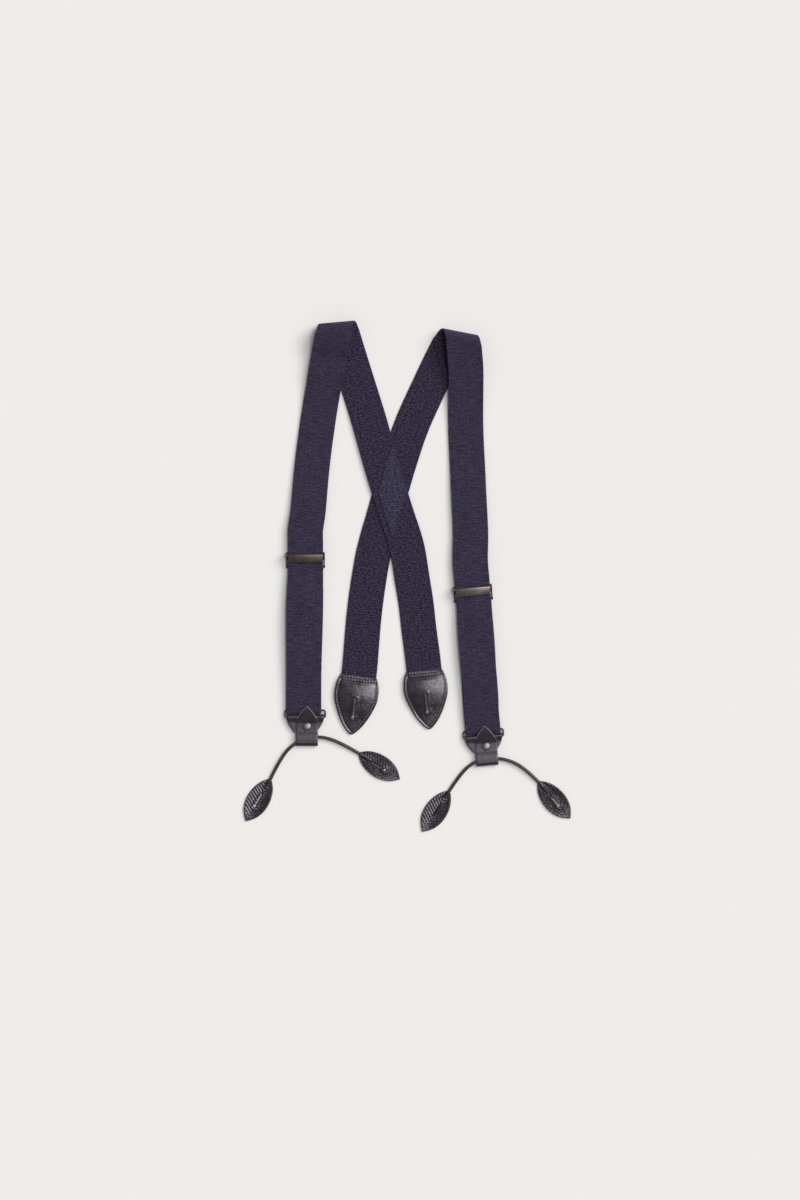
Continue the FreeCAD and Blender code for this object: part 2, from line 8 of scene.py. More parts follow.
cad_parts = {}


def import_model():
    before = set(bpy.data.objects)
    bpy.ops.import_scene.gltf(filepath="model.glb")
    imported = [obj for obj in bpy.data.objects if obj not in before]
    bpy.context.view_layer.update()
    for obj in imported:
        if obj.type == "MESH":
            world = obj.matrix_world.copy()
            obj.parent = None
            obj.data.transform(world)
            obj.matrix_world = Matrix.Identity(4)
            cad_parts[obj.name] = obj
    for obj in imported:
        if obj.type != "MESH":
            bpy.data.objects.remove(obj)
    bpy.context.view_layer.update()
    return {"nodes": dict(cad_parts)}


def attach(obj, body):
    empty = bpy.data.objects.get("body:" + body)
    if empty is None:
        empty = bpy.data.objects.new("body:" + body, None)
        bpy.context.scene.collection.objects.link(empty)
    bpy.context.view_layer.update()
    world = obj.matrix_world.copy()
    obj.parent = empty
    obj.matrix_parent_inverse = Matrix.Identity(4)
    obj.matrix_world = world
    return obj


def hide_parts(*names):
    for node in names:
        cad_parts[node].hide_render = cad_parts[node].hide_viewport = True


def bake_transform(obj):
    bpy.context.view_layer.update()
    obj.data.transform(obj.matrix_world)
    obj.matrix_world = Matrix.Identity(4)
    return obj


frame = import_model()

# ---- dimensions, in mm
SIDES = ("left", "right")
WEB = 35.0  # width of the webbing
THICK = 1.6  # webbing
LEATHER = 1.2  # one ply
GAP = 0.3  # between the return run and the sewn tail
BEND_R = 9.0  # middle of the webbing round the shoulder
RING_Z = 3.0  # middle of the ring's wire
BAR_GAP = 7.2  # between the ring's two bars
TURN_R = 1.95  # middle of the webbing above and below the ring's bar
TURN_REACH = 2.85  # and beyond the bar
TURN_LEG = 6.0  # straight webbing after its turn round the ring
WIRE_R = 0.95  # the ring's wire, as drawn
ADJ_LEVEL = 6.35  # webbing through the adjuster
LYING = 0.83  # webbing on the table
TAIL_END = -27.0  # the sewn tail's end, from the adjuster
TAB_SHIFT = 1.3  # loop tab and rivet, to the right of the ring's middle
CREASE_AT = 202.0  # packing crease, along the front from the shoulder
CORD_R = 1.65
STITCH_PITCH = 2.9
TAB_SEAM = 2.6  # stitches, from the back tab's edge
TAB_SLIT, TAB_EYE = 22.8, 41.2  # buttonhole, down from the back tab's top
LEAF_EYE = 30.6  # middle of the buttonhole's eye, from the leaf's neck
RIVET_Y = -16.2  # from the ring
TO_MIDDLE = (-0.64, 0.46, 0.0)  # from the drawing's origin to the object's middle
# places in the drawing: x, y and turn in degrees
RING = {"left": (-101.0, -134.2, 0.0), "right": (76.5, -154.1, 5.0)}
ADJ = {"left": (-101.0, 17.8, 0.0), "right": (66.1, -15.3, 5.0)}
TAB = {"left": (-47.8, -99.8, -7.7), "right": (17.4, -94.3, 5.2)}
CROSSING = (-14.6, 84.5, 0.0)
FOLD = {"left": (-68.4, 243.5, 5.0), "right": (52.1, 233.9, -11.0)}
# how far the webbing lies from the middle of the fold and of the ring
BACK_SHIFT = {"left": 3.3, "right": -7.0}
FRONT_SHIFT = {"left": -4.2, "right": 4.6}
RING_SHIFT = {"left": -1.9, "right": -0.3}
# middle of the webbing on its way: x, y and height
BACK = {
    "left": [(-61.2, 231, 0.9), (-46.2, 183, 1.3), (-36.4, 151, 2.6), (-27.5, 119, 2.8),
             (-18.0, 87, 2.8), (-8.0, 55, 2.8), (-0.4, 31, 2.8), (5.2, -1, 2.1),
             (9.0, -25, 1.0), (12.7, -57, 0.95), (15.6, -78, 1.5)],
    "right": [(42.9, 231, 0.95), (27.0, 199, 0.85), (15.8, 175, 0.85), (5.2, 151, 0.85),
              (-3.2, 127, 0.85), (-13.0, 95, 0.85), (-24.2, 55, 0.85), (-33.0, 23, 0.85),
              (-37.4, -1, 0.85), (-40.9, -25, 0.85), (-44.4, -60, 0.95), (-46.2, -84, 1.5)],
}
FRONT = {
    "left": [(-75.6, 230.5, 17.2), (-78.0, 218, 13.6), (-80.2, 205, 9.4), (-82.9, 189, 5.4),
             (-85.9, 172, 3.0), (-89.9, 146, 2.0), (-94.2, 112, 2.8), (-97.4, 76, 4.3),
             (-99.0, 60, 5.2)],
    "right": [(57.6, 222, 17.2), (58.8, 209, 13.6), (59.1, 196, 9.4), (59.0, 180, 5.4),
              (58.9, 163, 3.0), (59.4, 138, 2.0), (60.9, 108, 3.2), (62.6, 71, 4.6),
              (63.9, 36, 4.9)],
}
LOWER = {
    "left": [(-102.2, -18, 7.4), (-102.8, -57, 8.2), (-102.7, -98, 6.6)],
    "right": [(68.2, -49, 7.4), (71.0, -86, 7.9), (74.1, -124, 6.4)],
}
CORD = {
    "left": [(-136.4, -203.4, 1.7), (-128.5, -187.0, 2.6), (-116.5, -170.0, 3.2),
             (-100.5, -161.6, 3.2), (-83.0, -160.4, 3.2), (-63.5, -167.8, 2.9),
             (-47.6, -177.4, 1.7)],
    "right": [(42.2, -215.4, 1.7), (51.7, -200.7, 2.6), (65.0, -186.6, 3.2),
              (82.0, -182.2, 3.2), (99.2, -182.7, 3.2), (118.0, -191.7, 2.9),
              (131.8, -206.0, 1.7)],
}
LEAF_HEADING = {
    "left_outer": 239.6, "left_inner": -32.3,
    "right_inner": 236.5, "right_outer": -48.8,
}  # degrees, from the neck to the tip
UP = np.array([0.0, 0.0, 1.0])


# ---- helpers
def unit(v):
    v = np.asarray(v, float)
    return v / np.linalg.norm(v)


def world(local, x, y, z=0.0):
    """A point, or arrays of x, y and z, of a local frame (x, y, turn in degrees) in the drawing's mm."""
    t = math.radians(local[2])
    c, s = math.cos(t), math.sin(t)
    return np.array([local[0] + x * c - y * s, local[1] + x * s + y * c, z])


def side_of(local):
    """The direction across a fitting."""
    return world(local, 1, 0) - world(local, 0, 0)


def metres(p):
    return tuple((np.asarray(p, float) + TO_MIDDLE) / 1000)


def wobble(x, y, z, size, seed=0.0):
    """Smooth noise from -1 to 1 with features of about that size in mm."""
    return noise.noise(Vector((x / size + seed, y / size - seed, z / size + 0.37 * seed)))


def new_object(name, data):
    ob = bpy.data.objects.new(name, data)
    bpy.context.scene.collection.objects.link(ob)
    return ob


def mesh_object(name, points, faces, smooth, local=None, uvs=None, slots=None):
    """An object from points in mm, smooth up to that angle. uvs and slots are per face."""
    pts = np.asarray(points, float)
    if local is not None:
        pts = world(local, *pts.T).T
    pts = (pts + TO_MIDDLE) / 1000
    me = bpy.data.meshes.new(name)
    me.from_pydata([tuple(p) for p in pts], [], faces)
    if uvs is not None:
        layer = me.uv_layers.new(name="web")
        flat = [c for face in uvs for corner in face for c in corner]
        layer.data.foreach_set("uv", flat)
    if slots is not None:
        me.polygons.foreach_set("material_index", slots)
    me.shade_smooth()
    me.set_sharp_from_angle(angle=math.radians(smooth))
    me.update()
    return new_object(name, me)


def finish_piece(ob, mats, body, node):
    """Gives a piece its materials and its body, and hides the CAD node it stands for."""
    for m in mats:
        ob.data.materials.append(m)
    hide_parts(node)
    if body:
        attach(ob, body)
    return ob


def face_outwards(ob):
    bm = bmesh.new()
    bm.from_mesh(ob.data)
    bmesh.ops.recalc_face_normals(bm, faces=bm.faces)
    bm.to_mesh(ob.data)
    bm.free()


# ---- materials
class Nodes:
    """Short calls for building one material's node tree."""

    def __init__(self, name):
        self.mat = bpy.data.materials.new(name)
        self.mat.use_nodes = True
        self.tree = self.mat.node_tree
        self.shader = self.tree.nodes["Principled BSDF"]

    def add(self, kind, inputs=None, **settings):
        n = self.tree.nodes.new(kind)
        for k, v in settings.items():
            setattr(n, k, v)
        for k, v in (inputs or {}).items():
            self.feed(n.inputs[k], v)
        return n

    def feed(self, socket, v):
        if isinstance(v, bpy.types.NodeSocket):
            self.tree.links.new(v, socket)
        else:
            socket.default_value = v

    def maths(self, operation, a, b=0.0, c=0.0):
        return self.add("ShaderNodeMath", {0: a, 1: b, 2: c}, operation=operation).outputs[0]

    def noise(self, vector, scale, detail=2.0, rough=0.5, distortion=0.0):
        n = self.add("ShaderNodeTexNoise", {
            "Vector": vector, "Scale": scale, "Detail": detail, "Roughness": rough,
            "Distortion": distortion})
        return n.outputs["Fac"]

    def mix(self, factor, a, b):
        n = self.add("ShaderNodeMix", data_type="RGBA")
        self.feed(n.inputs["Factor"], factor)
        self.feed(n.inputs["A"], a)
        self.feed(n.inputs["B"], b)
        return n.outputs["Result"]

    def span(self, value, low, high, to_low=0.0, to_high=1.0, kind="LINEAR"):
        n = self.add("ShaderNodeMapRange", {
            "Value": value, "From Min": low, "From Max": high, "To Min": to_low, "To Max": to_high},
            interpolation_type=kind)
        return n.outputs["Result"]

    def layer(self, part, weight, rest):
        """part times weight, plus the rest."""
        return self.maths("MULTIPLY_ADD", part, weight, rest)

    def scaled(self, vector, factor):
        """A colour or a place times a number."""
        return self.add("ShaderNodeVectorMath", {0: vector, 3: factor}, operation="SCALE").outputs[0]

    def uv(self):
        """Across and along the webbing, in mm."""
        both = self.add("ShaderNodeUVMap", uv_map="web").outputs[0]
        s = self.add("ShaderNodeSeparateXYZ", {0: both})
        return s.outputs[0], s.outputs[1]

    def stretched(self, u, v, across, along, detail=3.0, rough=0.5):
        """Noise with its own scale across and along the webbing."""
        x, y = self.maths("MULTIPLY", u, across), self.maths("MULTIPLY", v, along)
        at = self.add("ShaderNodeCombineXYZ", {0: x, 1: y}).outputs[0]
        return self.noise(at, 1.0, detail, rough)

    def stripe(self, x, low, high, soft=0.5):
        """1 inside a band and 0 outside it, with soft sides."""
        return self.maths("MULTIPLY", self.span(x, low, low + soft, kind="SMOOTHSTEP"),
                          self.span(x, high - soft, high, 1, 0, "SMOOTHSTEP"))

    def place(self):
        """The place at rest, in mm."""
        return self.scaled(self.add("ShaderNodeTexCoord").outputs["Object"], 1000.0)

    def bump(self, height, distance, strength=1.0):
        """distance is in mm."""
        n = self.add("ShaderNodeBump", {
            "Height": height, "Distance": distance / 1000, "Strength": strength})
        return n.outputs[0]

    def done(self, colour, roughness, normal=None, **constants):
        self.feed(self.shader.inputs["Base Color"], colour)
        self.feed(self.shader.inputs["Roughness"], roughness)
        if normal is not None:
            self.feed(self.shader.inputs["Normal"], normal)
        for k, v in constants.items():
            self.shader.inputs[k.replace("_", " ")].default_value = v
        return self.mat


OUTER = (0.0325, 0.0277, 0.0510)
INNER = (0.0300, 0.0255, 0.0475)
PATCH = (0.0415, 0.0370, 0.0690)
YARN = {
    "Sheen_Weight": 0.12, "Sheen_Roughness": 0.5, "Sheen_Tint": (0.55, 0.50, 0.75, 1.0),
    "Specular_Tint": (0.9, 0.86, 1.0, 1.0),
}


def webbing_outer():
    """Fine plain weave: uneven cross ribs, flecks of paler yarn, and a groove along each selvedge, darkened
    with painted shade.
    """
    k = Nodes("webbing_outer")
    u, v = k.uv()
    weft = k.maths("SINE", k.maths("MULTIPLY", v, 2 * math.pi / 0.85))
    warp = k.maths("SINE", k.maths("MULTIPLY", u, 2 * math.pi / 0.95))
    both = k.maths("MULTIPLY", weft, warp)
    picks = k.stretched(u, v, 0.10, 0.75, rough=0.7)
    flecks = k.stretched(u, v, 0.62, 0.85, rough=0.75)
    ends = k.stretched(u, v, 0.60, 0.012)
    broad = k.stretched(u, v, 0.05, 0.03)
    edge = k.maths("ABSOLUTE", u)
    line, groove = k.stripe(edge, 15.0, 16.4), k.stripe(edge, 14.0, 15.1)
    tone = k.maths("ADD", k.span(picks, 0.34, 0.66, 0.55, 1.45), k.span(flecks, 0.36, 0.64, -0.72, 0.72))
    tone = k.maths("ADD", tone, k.span(ends, 0.3, 0.7, -0.07, 0.07))
    tone = k.maths("ADD", tone, k.span(broad, 0.3, 0.7, -0.07, 0.07))
    tone = k.layer(both, 0.05, tone)
    tone = k.layer(line, 0.10, tone)
    # the groove's darkening of the colour is painted shade
    tone = k.maths("MAXIMUM", k.layer(groove, -0.10, tone), 0.15)
    colour = k.scaled(OUTER, tone)
    height = k.layer(both, 0.30, k.maths("MULTIPLY", flecks, 0.8))
    height = k.layer(weft, 0.18, height)
    height = k.layer(picks, 0.7, height)
    height = k.layer(groove, -0.8, height)
    return k.done(colour, k.span(flecks, 0.3, 0.7, 0.78, 0.9), k.bump(height, 0.22, 0.9),
                  Specular_IOR_Level=0.14, **YARN)


def looped_face(k, u, v, base, strength):
    """The looped side of the webbing: short wavy cross ribs with painted shade in their valleys, and pale
    flecks.
    """
    sway = k.stretched(u, v, 0.30, 0.10, 2.0)
    bent = k.layer(sway, 5.0, v)
    rib = k.maths("SINE", k.maths("MULTIPLY", bent, 2 * math.pi / 2.5))
    loops = k.stretched(u, bent, 0.36, 0.62, rough=0.75)
    fine = k.stretched(u, v, 0.95, 0.95, 2.0, 0.7)
    broken = k.maths("MULTIPLY", rib, k.span(loops, 0.35, 0.65, 0.35, 1.0))
    tone = k.maths("ADD", k.span(loops, 0.35, 0.65, -0.95, 0.95), k.span(fine, 0.35, 0.65, -0.55, 0.55))
    # the ribs' valleys are darkened in colour: painted shade
    tone = k.layer(broken, 0.45, tone)
    tone = k.maths("MAXIMUM", k.layer(tone, strength, 1.0), 0.10)
    colour = k.scaled(base, tone)
    height = k.layer(broken, 0.35, loops)
    height = k.layer(fine, 0.4, height)
    return k.done(colour, k.span(loops, 0.3, 0.7, 0.95, 0.8), k.bump(height, 0.8),
                  Specular_IOR_Level=0.12, **YARN)


def webbing_inner():
    k = Nodes("webbing_inner")
    return looped_face(k, *k.uv(), INNER, 1.0)


def webbing_patch():
    """The slightly paler patch over the crossing."""
    k = Nodes("webbing_patch")
    s = k.add("ShaderNodeSeparateXYZ", {0: k.place()})
    return looped_face(k, s.outputs[0], s.outputs[1], PATCH, 0.85)


def leather(name, base, rough, wrinkle=0.0, grain=0.6, swell=1.0):
    """Black leather: pebbled grain, fine creases, pores, and a paler rim on convex edges, partly worn
    leather and partly a painted edge highlight.
    """
    k = Nodes(name)
    p = k.place()
    pebble = k.add("ShaderNodeTexVoronoi", {"Vector": p, "Scale": 1.6, "Randomness": 1.0},
                   feature="F1").outputs["Distance"]
    pores = k.noise(p, 2.6, 4.0, 0.65)
    broad = k.noise(p, 0.14, 3.0, 0.55)
    crease = k.noise(p, 0.5, 4.0, 0.6, 1.4)
    crease = k.maths("ABSOLUTE", k.maths("SUBTRACT", crease, 0.5))
    crease = k.span(crease, 0.0, 0.05, 0.0, 1.0, "SMOOTHSTEP")
    edge = k.add("ShaderNodeNewGeometry").outputs["Pointiness"]
    # paler on convex edges: partly wear, partly a painted edge highlight
    pale_edge = k.span(edge, 0.54, 0.66, 0.0, 1.0)
    tone = k.maths("ADD", k.span(broad, 0.3, 0.7, 0.82, 1.18), k.span(pores, 0.3, 0.7, -0.12, 0.12))
    tone = k.layer(pale_edge, 1.2, tone)
    colour = k.scaled(base, tone)
    height = k.layer(pebble, -grain, k.maths("MULTIPLY", pores, 0.4))
    height = k.layer(k.noise(p, 0.42, 2.0, 0.5), swell, height)
    height = k.layer(crease, 0.04 + 0.2 * wrinkle, height)
    roughness = k.maths("ADD", k.span(broad, 0.3, 0.7, rough - 0.06, rough + 0.08),
                        k.span(pores, 0.3, 0.7, -0.04, 0.05))
    return k.done(colour, roughness, k.bump(height, 0.09, 0.8), Specular_IOR_Level=0.66,
                  Specular_Tint=(0.92, 0.88, 1.0, 1.0))


def metal(name, base, rough):
    """Dark plated metal: drawn streaks along x, specks, and paler edges."""
    k = Nodes(name)
    p = k.place()
    broad = k.noise(p, 0.25, 3.0, 0.6)
    speck = k.noise(p, 2.2, 4.0, 0.65)
    drawn = k.add("ShaderNodeVectorMath", {0: p, 1: (0.12, 3.0, 3.0)}, operation="MULTIPLY")
    long = k.noise(drawn.outputs[0], 1.0, 3.0, 0.6)
    edge = k.add("ShaderNodeNewGeometry").outputs["Pointiness"]
    pale_edge = k.span(edge, 0.55, 0.70, 0.0, 1.0)
    tone = k.maths("ADD", k.span(broad, 0.3, 0.7, 0.85, 1.15), k.span(speck, 0.3, 0.7, -0.1, 0.1))
    tone = k.layer(pale_edge, 0.9, tone)
    colour = k.scaled(base, tone)
    roughness = k.maths("ADD", k.span(broad, 0.3, 0.7, rough - 0.05, rough + 0.07),
                        k.span(long, 0.3, 0.7, -0.05, 0.05))
    return k.done(colour, roughness, k.bump(long, 0.02, 0.5), Metallic=1.0)


def thread(name, base):
    k = Nodes(name)
    twist = k.noise(k.place(), 3.0)
    colour = k.scaled(base, k.span(twist, 0.3, 0.7, 0.8, 1.25))
    return k.done(colour, 0.6, k.bump(twist, 0.08, 0.6), Sheen_Weight=0.3)


# ---- smooth routes
def spline(points):
    """A natural cubic through the points: functions of distance for the place and the direction."""
    p = np.asarray(points, float)
    t = np.concatenate([[0], np.cumsum(np.linalg.norm(np.diff(p, axis=0), axis=1))])
    n = len(t)
    h = np.diff(t)
    a = np.zeros((n, n))
    rhs = np.zeros((n, p.shape[1]))
    a[0, 0] = a[-1, -1] = 1
    for i in range(1, n - 1):
        a[i, i - 1:i + 2] = h[i - 1], 2 * (h[i - 1] + h[i]), h[i]
        rhs[i] = 6 * ((p[i + 1] - p[i]) / h[i] - (p[i] - p[i - 1]) / h[i - 1])
    m = np.linalg.solve(a, rhs)

    def at(d):
        i = int(np.clip(np.searchsorted(t, d) - 1, 0, n - 2))
        s, e = (t[i + 1] - d) / h[i], (d - t[i]) / h[i]
        q = s * p[i] + e * p[i + 1]
        return q + ((s ** 3 - s) * m[i] + (e ** 3 - e) * m[i + 1]) * h[i] ** 2 / 6

    return at, t


def run_stations(points, start_side, end_side, v0):
    """Stations of a flat run: place, side, normal, half width, distance along and direction."""
    step = 1.2  # between stations
    width = 9.0  # heights are smoothed over this
    twist = 11.0  # the band turns to its end's direction within this
    p = np.asarray(points, float)
    at, t = spline(p[:, :2])
    length = t[-1]
    count = max(6, int(length / step))
    ds = np.linspace(0, length, count + 1)
    z = np.interp(ds, t, p[:, 2])
    reach = min(20, count - 1)
    kernel = np.exp(-0.5 * (np.arange(-reach, reach + 1) * (ds[1] - ds[0]) / width) ** 2)
    kernel /= kernel.sum()
    pad = np.concatenate([2 * z[0] - z[reach:0:-1], z, 2 * z[-1] - z[-2:-2 - reach:-1]])
    z = np.convolve(pad, kernel, "valid")
    out = []
    for d, zz in zip(ds, z):
        way = at(min(length, d + 0.5)) - at(max(0, d - 0.5))
        across = unit([way[1], -way[0], 0])
        across = across if across[0] > 0 else -across
        for near, given in ((d, start_side), (length - d, end_side)):
            if near < twist:
                share = 0.5 + 0.5 * math.cos(math.pi * near / twist)
                across = unit(across * (1 - share) + unit(given) * share)
        out.append([np.array([*at(d), zz]), across, None, WEB / 2, v0 + d, unit([*way, 0])])
    centres = np.array([s[0] for s in out])
    for i, s in enumerate(out):
        a, b = centres[max(0, i - 1)], centres[min(len(out) - 1, i + 1)]
        along = unit(b - a)
        normal = unit(np.cross(s[1], along))
        s[2] = normal if normal[2] > 0 else -normal
        s[3] = WEB / 2 / max(0.8, math.sqrt(max(0.0, 1 - float(s[1] @ s[5]) ** 2)))
        s[3] += 0.16 * wobble(s[4], 0.0, 0.0, 1.7, 5.0)
    return out, v0 + length


def local_stations(local, path, shift, half, v0):
    """Stations along a side profile: (y, z, normal y, normal z) in a local frame.

    half is half the width, or gives it from y.
    """
    side = unit(side_of(local))
    out = []
    v = v0
    for i, (y, z, ny, nz) in enumerate(path):
        here = world(local, shift, y, z)
        if i:
            v += float(np.linalg.norm(here - out[-1][0]))
        normal = world(local, 0, ny, nz) - world(local, 0, 0, 0)
        hw = half(y) if callable(half) else half
        out.append([here, side, unit(normal), hw, v, unit([0, 1, 0])])
    return out, v


def ribbon(name, stations, thick, columns=14, bow=None, upper=0, lower=1, rim=0, edge_r=None):
    """A band with rounded edges. upper, lower and rim are its faces' materials."""
    r = min(thick / 2, edge_r or thick / 2)
    straight = thick / 2 - r
    # across and round the section: share of the width, edge circle, and which face it is on
    ring = []
    for i in range(columns + 1):
        ring.append((-1 + 2 * i / columns, 0.0, 1.0, 0))
    for a in (67.5, 45, 22.5, 0, -22.5, -45, -67.5):
        c, s = math.cos(math.radians(a)), math.sin(math.radians(a))
        ring.append((1.0, c, s, 2))
    for i in range(columns + 1):
        ring.append((1 - 2 * i / columns, 0.0, -1.0, 1))
    for a in (-67.5, -45, -22.5, 0, 22.5, 45, 67.5):
        c, s = math.cos(math.radians(a)), math.sin(math.radians(a))
        ring.append((-1.0, -c, s, 2))
    n = len(ring)
    pts, uvr = [], []
    for place, side, normal, half, v, along in stations:
        inner = max(0.01, half - r)
        skew = float(np.dot(side, along))
        for x, cx, cz, _ in ring:
            q = x * inner + cx * min(r, half)
            lift = math.copysign(straight, cz) * (abs(cz) > 1e-6) + cz * r
            if bow is not None:
                lift += bow(q, v)
            pts.append(place + side * q + normal * lift)
            uvr.append((q, v + q * skew))
    faces, uvs, slots = [], [], []
    for i in range(len(stations) - 1):
        for j in range(n):
            k = (j + 1) % n
            a, b, c, d = i * n + j, i * n + k, (i + 1) * n + k, (i + 1) * n + j
            faces.append((a, b, c, d))
            uvs.append([uvr[a], uvr[b], uvr[c], uvr[d]])
            part = ring[j][3] if ring[j][3] == ring[k][3] else 2
            slots.append((upper, lower, rim)[part])
    for base, flip in ((0, True), ((len(stations) - 1) * n, False)):
        for j in range(n // 2):
            quad = [base + j, base + (j + 1) % n, base + (n - 2 - j) % n, base + (n - 1 - j) % n]
            quad = list(dict.fromkeys(quad))
            if len(quad) > 2:
                quad = quad[::-1] if flip else quad
                faces.append(tuple(quad))
                uvs.append([uvr[q] for q in quad])
                slots.append(rim)
    ob = mesh_object(name, pts, faces, 50, None, uvs, slots)
    face_outwards(ob)
    return ob


# ---- flat leather by distance field
def slab(name, local, inside, box, step, top, bottom, rim, pale=None):
    """A plate cut to a distance field. inside(x, y) is negative within; top and bottom give heights."""
    x0, y0, x1, y1 = box
    nx, ny = int((x1 - x0) / step) + 2, int((y1 - y0) / step) + 2
    xs, ys = x0 + np.arange(nx) * step, y0 + np.arange(ny) * step
    gx, gy = np.meshgrid(xs, ys, indexing="ij")
    f = inside(gx, gy)
    f[np.abs(f) < 1e-6] = -1e-6
    ids, flat = {}, []

    def corner(i, j):
        if (i, j) not in ids:
            ids[(i, j)] = len(flat)
            flat.append((xs[i], ys[j]))
        return ids[(i, j)]

    def crossing(a, b):
        key = (min(a, b), max(a, b))
        if key not in ids:
            fa, fb = f[a], f[b]
            t = fa / (fa - fb)
            ids[key] = len(flat)
            x, y = xs[a[0]], ys[a[1]]
            flat.append((x + t * (xs[b[0]] - x), y + t * (ys[b[1]] - y)))
        return ids[key]

    cells, walls = [], []
    for i in range(nx - 1):
        for j in range(ny - 1):
            four = [(i, j), (i + 1, j), (i + 1, j + 1), (i, j + 1)]
            within = [f[c] < 0 for c in four]
            if not any(within):
                continue
            if all(within):
                cells.append([corner(*c) for c in four])
                continue
            poly, cut = [], []
            for a in range(4):
                b = (a + 1) % 4
                if within[a]:
                    poly.append(corner(*four[a]))
                if within[a] != within[b]:
                    c = crossing(four[a], four[b])
                    poly.append(c)
                    cut.append((c, within[a]))
            cells.append(poly)
            for a in range(len(cut)):
                c, leaving = cut[a]
                if leaving:
                    walls.append((c, cut[(a + 1) % len(cut)][0]))
    flat = np.array(flat)
    depth = np.maximum(0, -inside(flat[:, 0], flat[:, 1]))
    short = rim - np.minimum(depth, rim)
    ease = np.where(depth < rim, rim - np.sqrt(np.maximum(0, rim ** 2 - short ** 2)), 0.0)
    high = top(flat[:, 0], flat[:, 1], depth) - ease
    low = bottom(flat[:, 0], flat[:, 1], depth) + ease * 0.6
    n = len(flat)
    pts = np.concatenate([np.column_stack([flat, high]), np.column_stack([flat, low])])
    faces = [tuple(c) for c in cells] + [tuple(i + n for i in reversed(c)) for c in cells]
    faces += [(b, a, a + n, b + n) for a, b in walls]
    slots = [0] * (2 * len(cells)) + [1] * len(walls)
    if pale is not None:
        middle = np.array([flat[c].mean(axis=0) for c in cells])
        slots[:len(cells)] = [int(q) for q in pale(middle[:, 0], middle[:, 1])]
    return mesh_object(name, pts, faces, 60, local, None, slots)


def profile_distance(side, x, y):
    """Signed distance to a shape that is symmetric about x = 0, given by half widths down -y."""
    right = np.array(side)
    return polygon_distance(np.concatenate([right, right[::-1] * (-1, 1)]), x, y)


def polygon_distance(loop, x, y):
    shape = np.shape(x)
    x, y = np.ravel(x), np.ravel(y)
    best = np.full(x.shape, 1e9)
    odd = np.zeros(x.shape, bool)
    for (ax, ay), (bx, by) in zip(loop, np.roll(loop, -1, axis=0)):
        ex, ey = bx - ax, by - ay
        t = np.clip(((x - ax) * ex + (y - ay) * ey) / max(1e-12, ex * ex + ey * ey), 0, 1)
        best = np.minimum(best, np.hypot(x - ax - t * ex, y - ay - t * ey))
        if ay != by:
            odd ^= ((ay > y) != (by > y)) & (x < (bx - ax) * (y - ay) / (by - ay) + ax)
    return np.where(odd, -best, best).reshape(shape)


def keyhole_distance(start, eye, x, y, slit=1.0, r=1.3):
    t = np.clip(-y, start, eye)
    line = np.hypot(x, y + t) - slit / 2
    return np.minimum(line, np.hypot(x, y + eye) - r)


def smooth_profile(points, count=60):
    at, t = spline(points)
    return [tuple(at(d)) for d in np.linspace(0, t[-1], count)]


def grid_noise(x, y, size, seed):
    values = [wobble(a, b, 0.0, size, seed) for a, b in zip(np.ravel(x), np.ravel(y))]
    return np.array(values).reshape(np.shape(x))


# ---- stitching
def stitches(name, local, rows, material, body, node, length=2.0, wide=0.6, high=0.34):
    """Plump threads that dive into the surface at both ends. rows: (x, y, z, degrees)."""
    pts, faces = [], []
    segs, around = 6, 8
    for x, y, z, deg in rows:
        a = math.radians(deg)
        dx, dy = math.cos(a), math.sin(a)
        base = len(pts)
        for i in range(segs + 1):
            t = -1 + 2 * i / segs
            r = math.sqrt(max(0.02, 1 - t * t * 0.92))
            drop = -0.18 * t * t
            for j in range(around):
                b = 2 * math.pi * j / around
                o, h = math.cos(b) * wide / 2 * r, math.sin(b) * high * r + drop
                pts.append((x + dx * t * length / 2 - dy * o, y + dy * t * length / 2 + dx * o, z + h))
        for i in range(segs):
            here, ahead = base + i * around, base + (i + 1) * around
            for j in range(around):
                k = (j + 1) % around
                faces.append((here + j, here + k, ahead + k, ahead + j))
        faces.append(tuple(base + j for j in reversed(range(around))))
        faces.append(tuple(base + segs * around + j for j in range(around)))
    ob = mesh_object(name, pts, faces, 60, local)
    return finish_piece(ob, [material], body, node)


def row_between(a, b, z, step):
    a, b = np.array(a, float), np.array(b, float)
    count = max(1, int(np.linalg.norm(b - a) / step))
    deg = math.degrees(math.atan2(b[1] - a[1], b[0] - a[0]))
    return [(*(a + (b - a) * (i + 0.5) / count), z, deg) for i in range(count)]


def rounded_copy(name, node, width, material, body):
    """The CAD node's shape with its edges eased."""
    bm = bmesh.new()
    bm.from_mesh(frame["nodes"][node].data)
    bmesh.ops.remove_doubles(bm, verts=bm.verts, dist=2e-6)
    bmesh.ops.dissolve_limit(bm, angle_limit=math.radians(1.0), verts=bm.verts, edges=bm.edges)
    me = bpy.data.meshes.new(name)
    bm.to_mesh(me)
    bm.free()
    ob = new_object(name, me)
    mod = ob.modifiers.new("ease", "BEVEL")
    mod.width = width / 1000
    mod.segments = 2
    mod.limit_method = "ANGLE"
    mod.angle_limit = math.radians(32)
    dg = bpy.context.evaluated_depsgraph_get()
    new = bpy.data.meshes.new_from_object(ob.evaluated_get(dg))
    ob.modifiers.clear()
    ob.data = new
    new.shade_smooth()
    new.set_sharp_from_angle(angle=math.radians(38))
    return finish_piece(ob, [material], body, node)


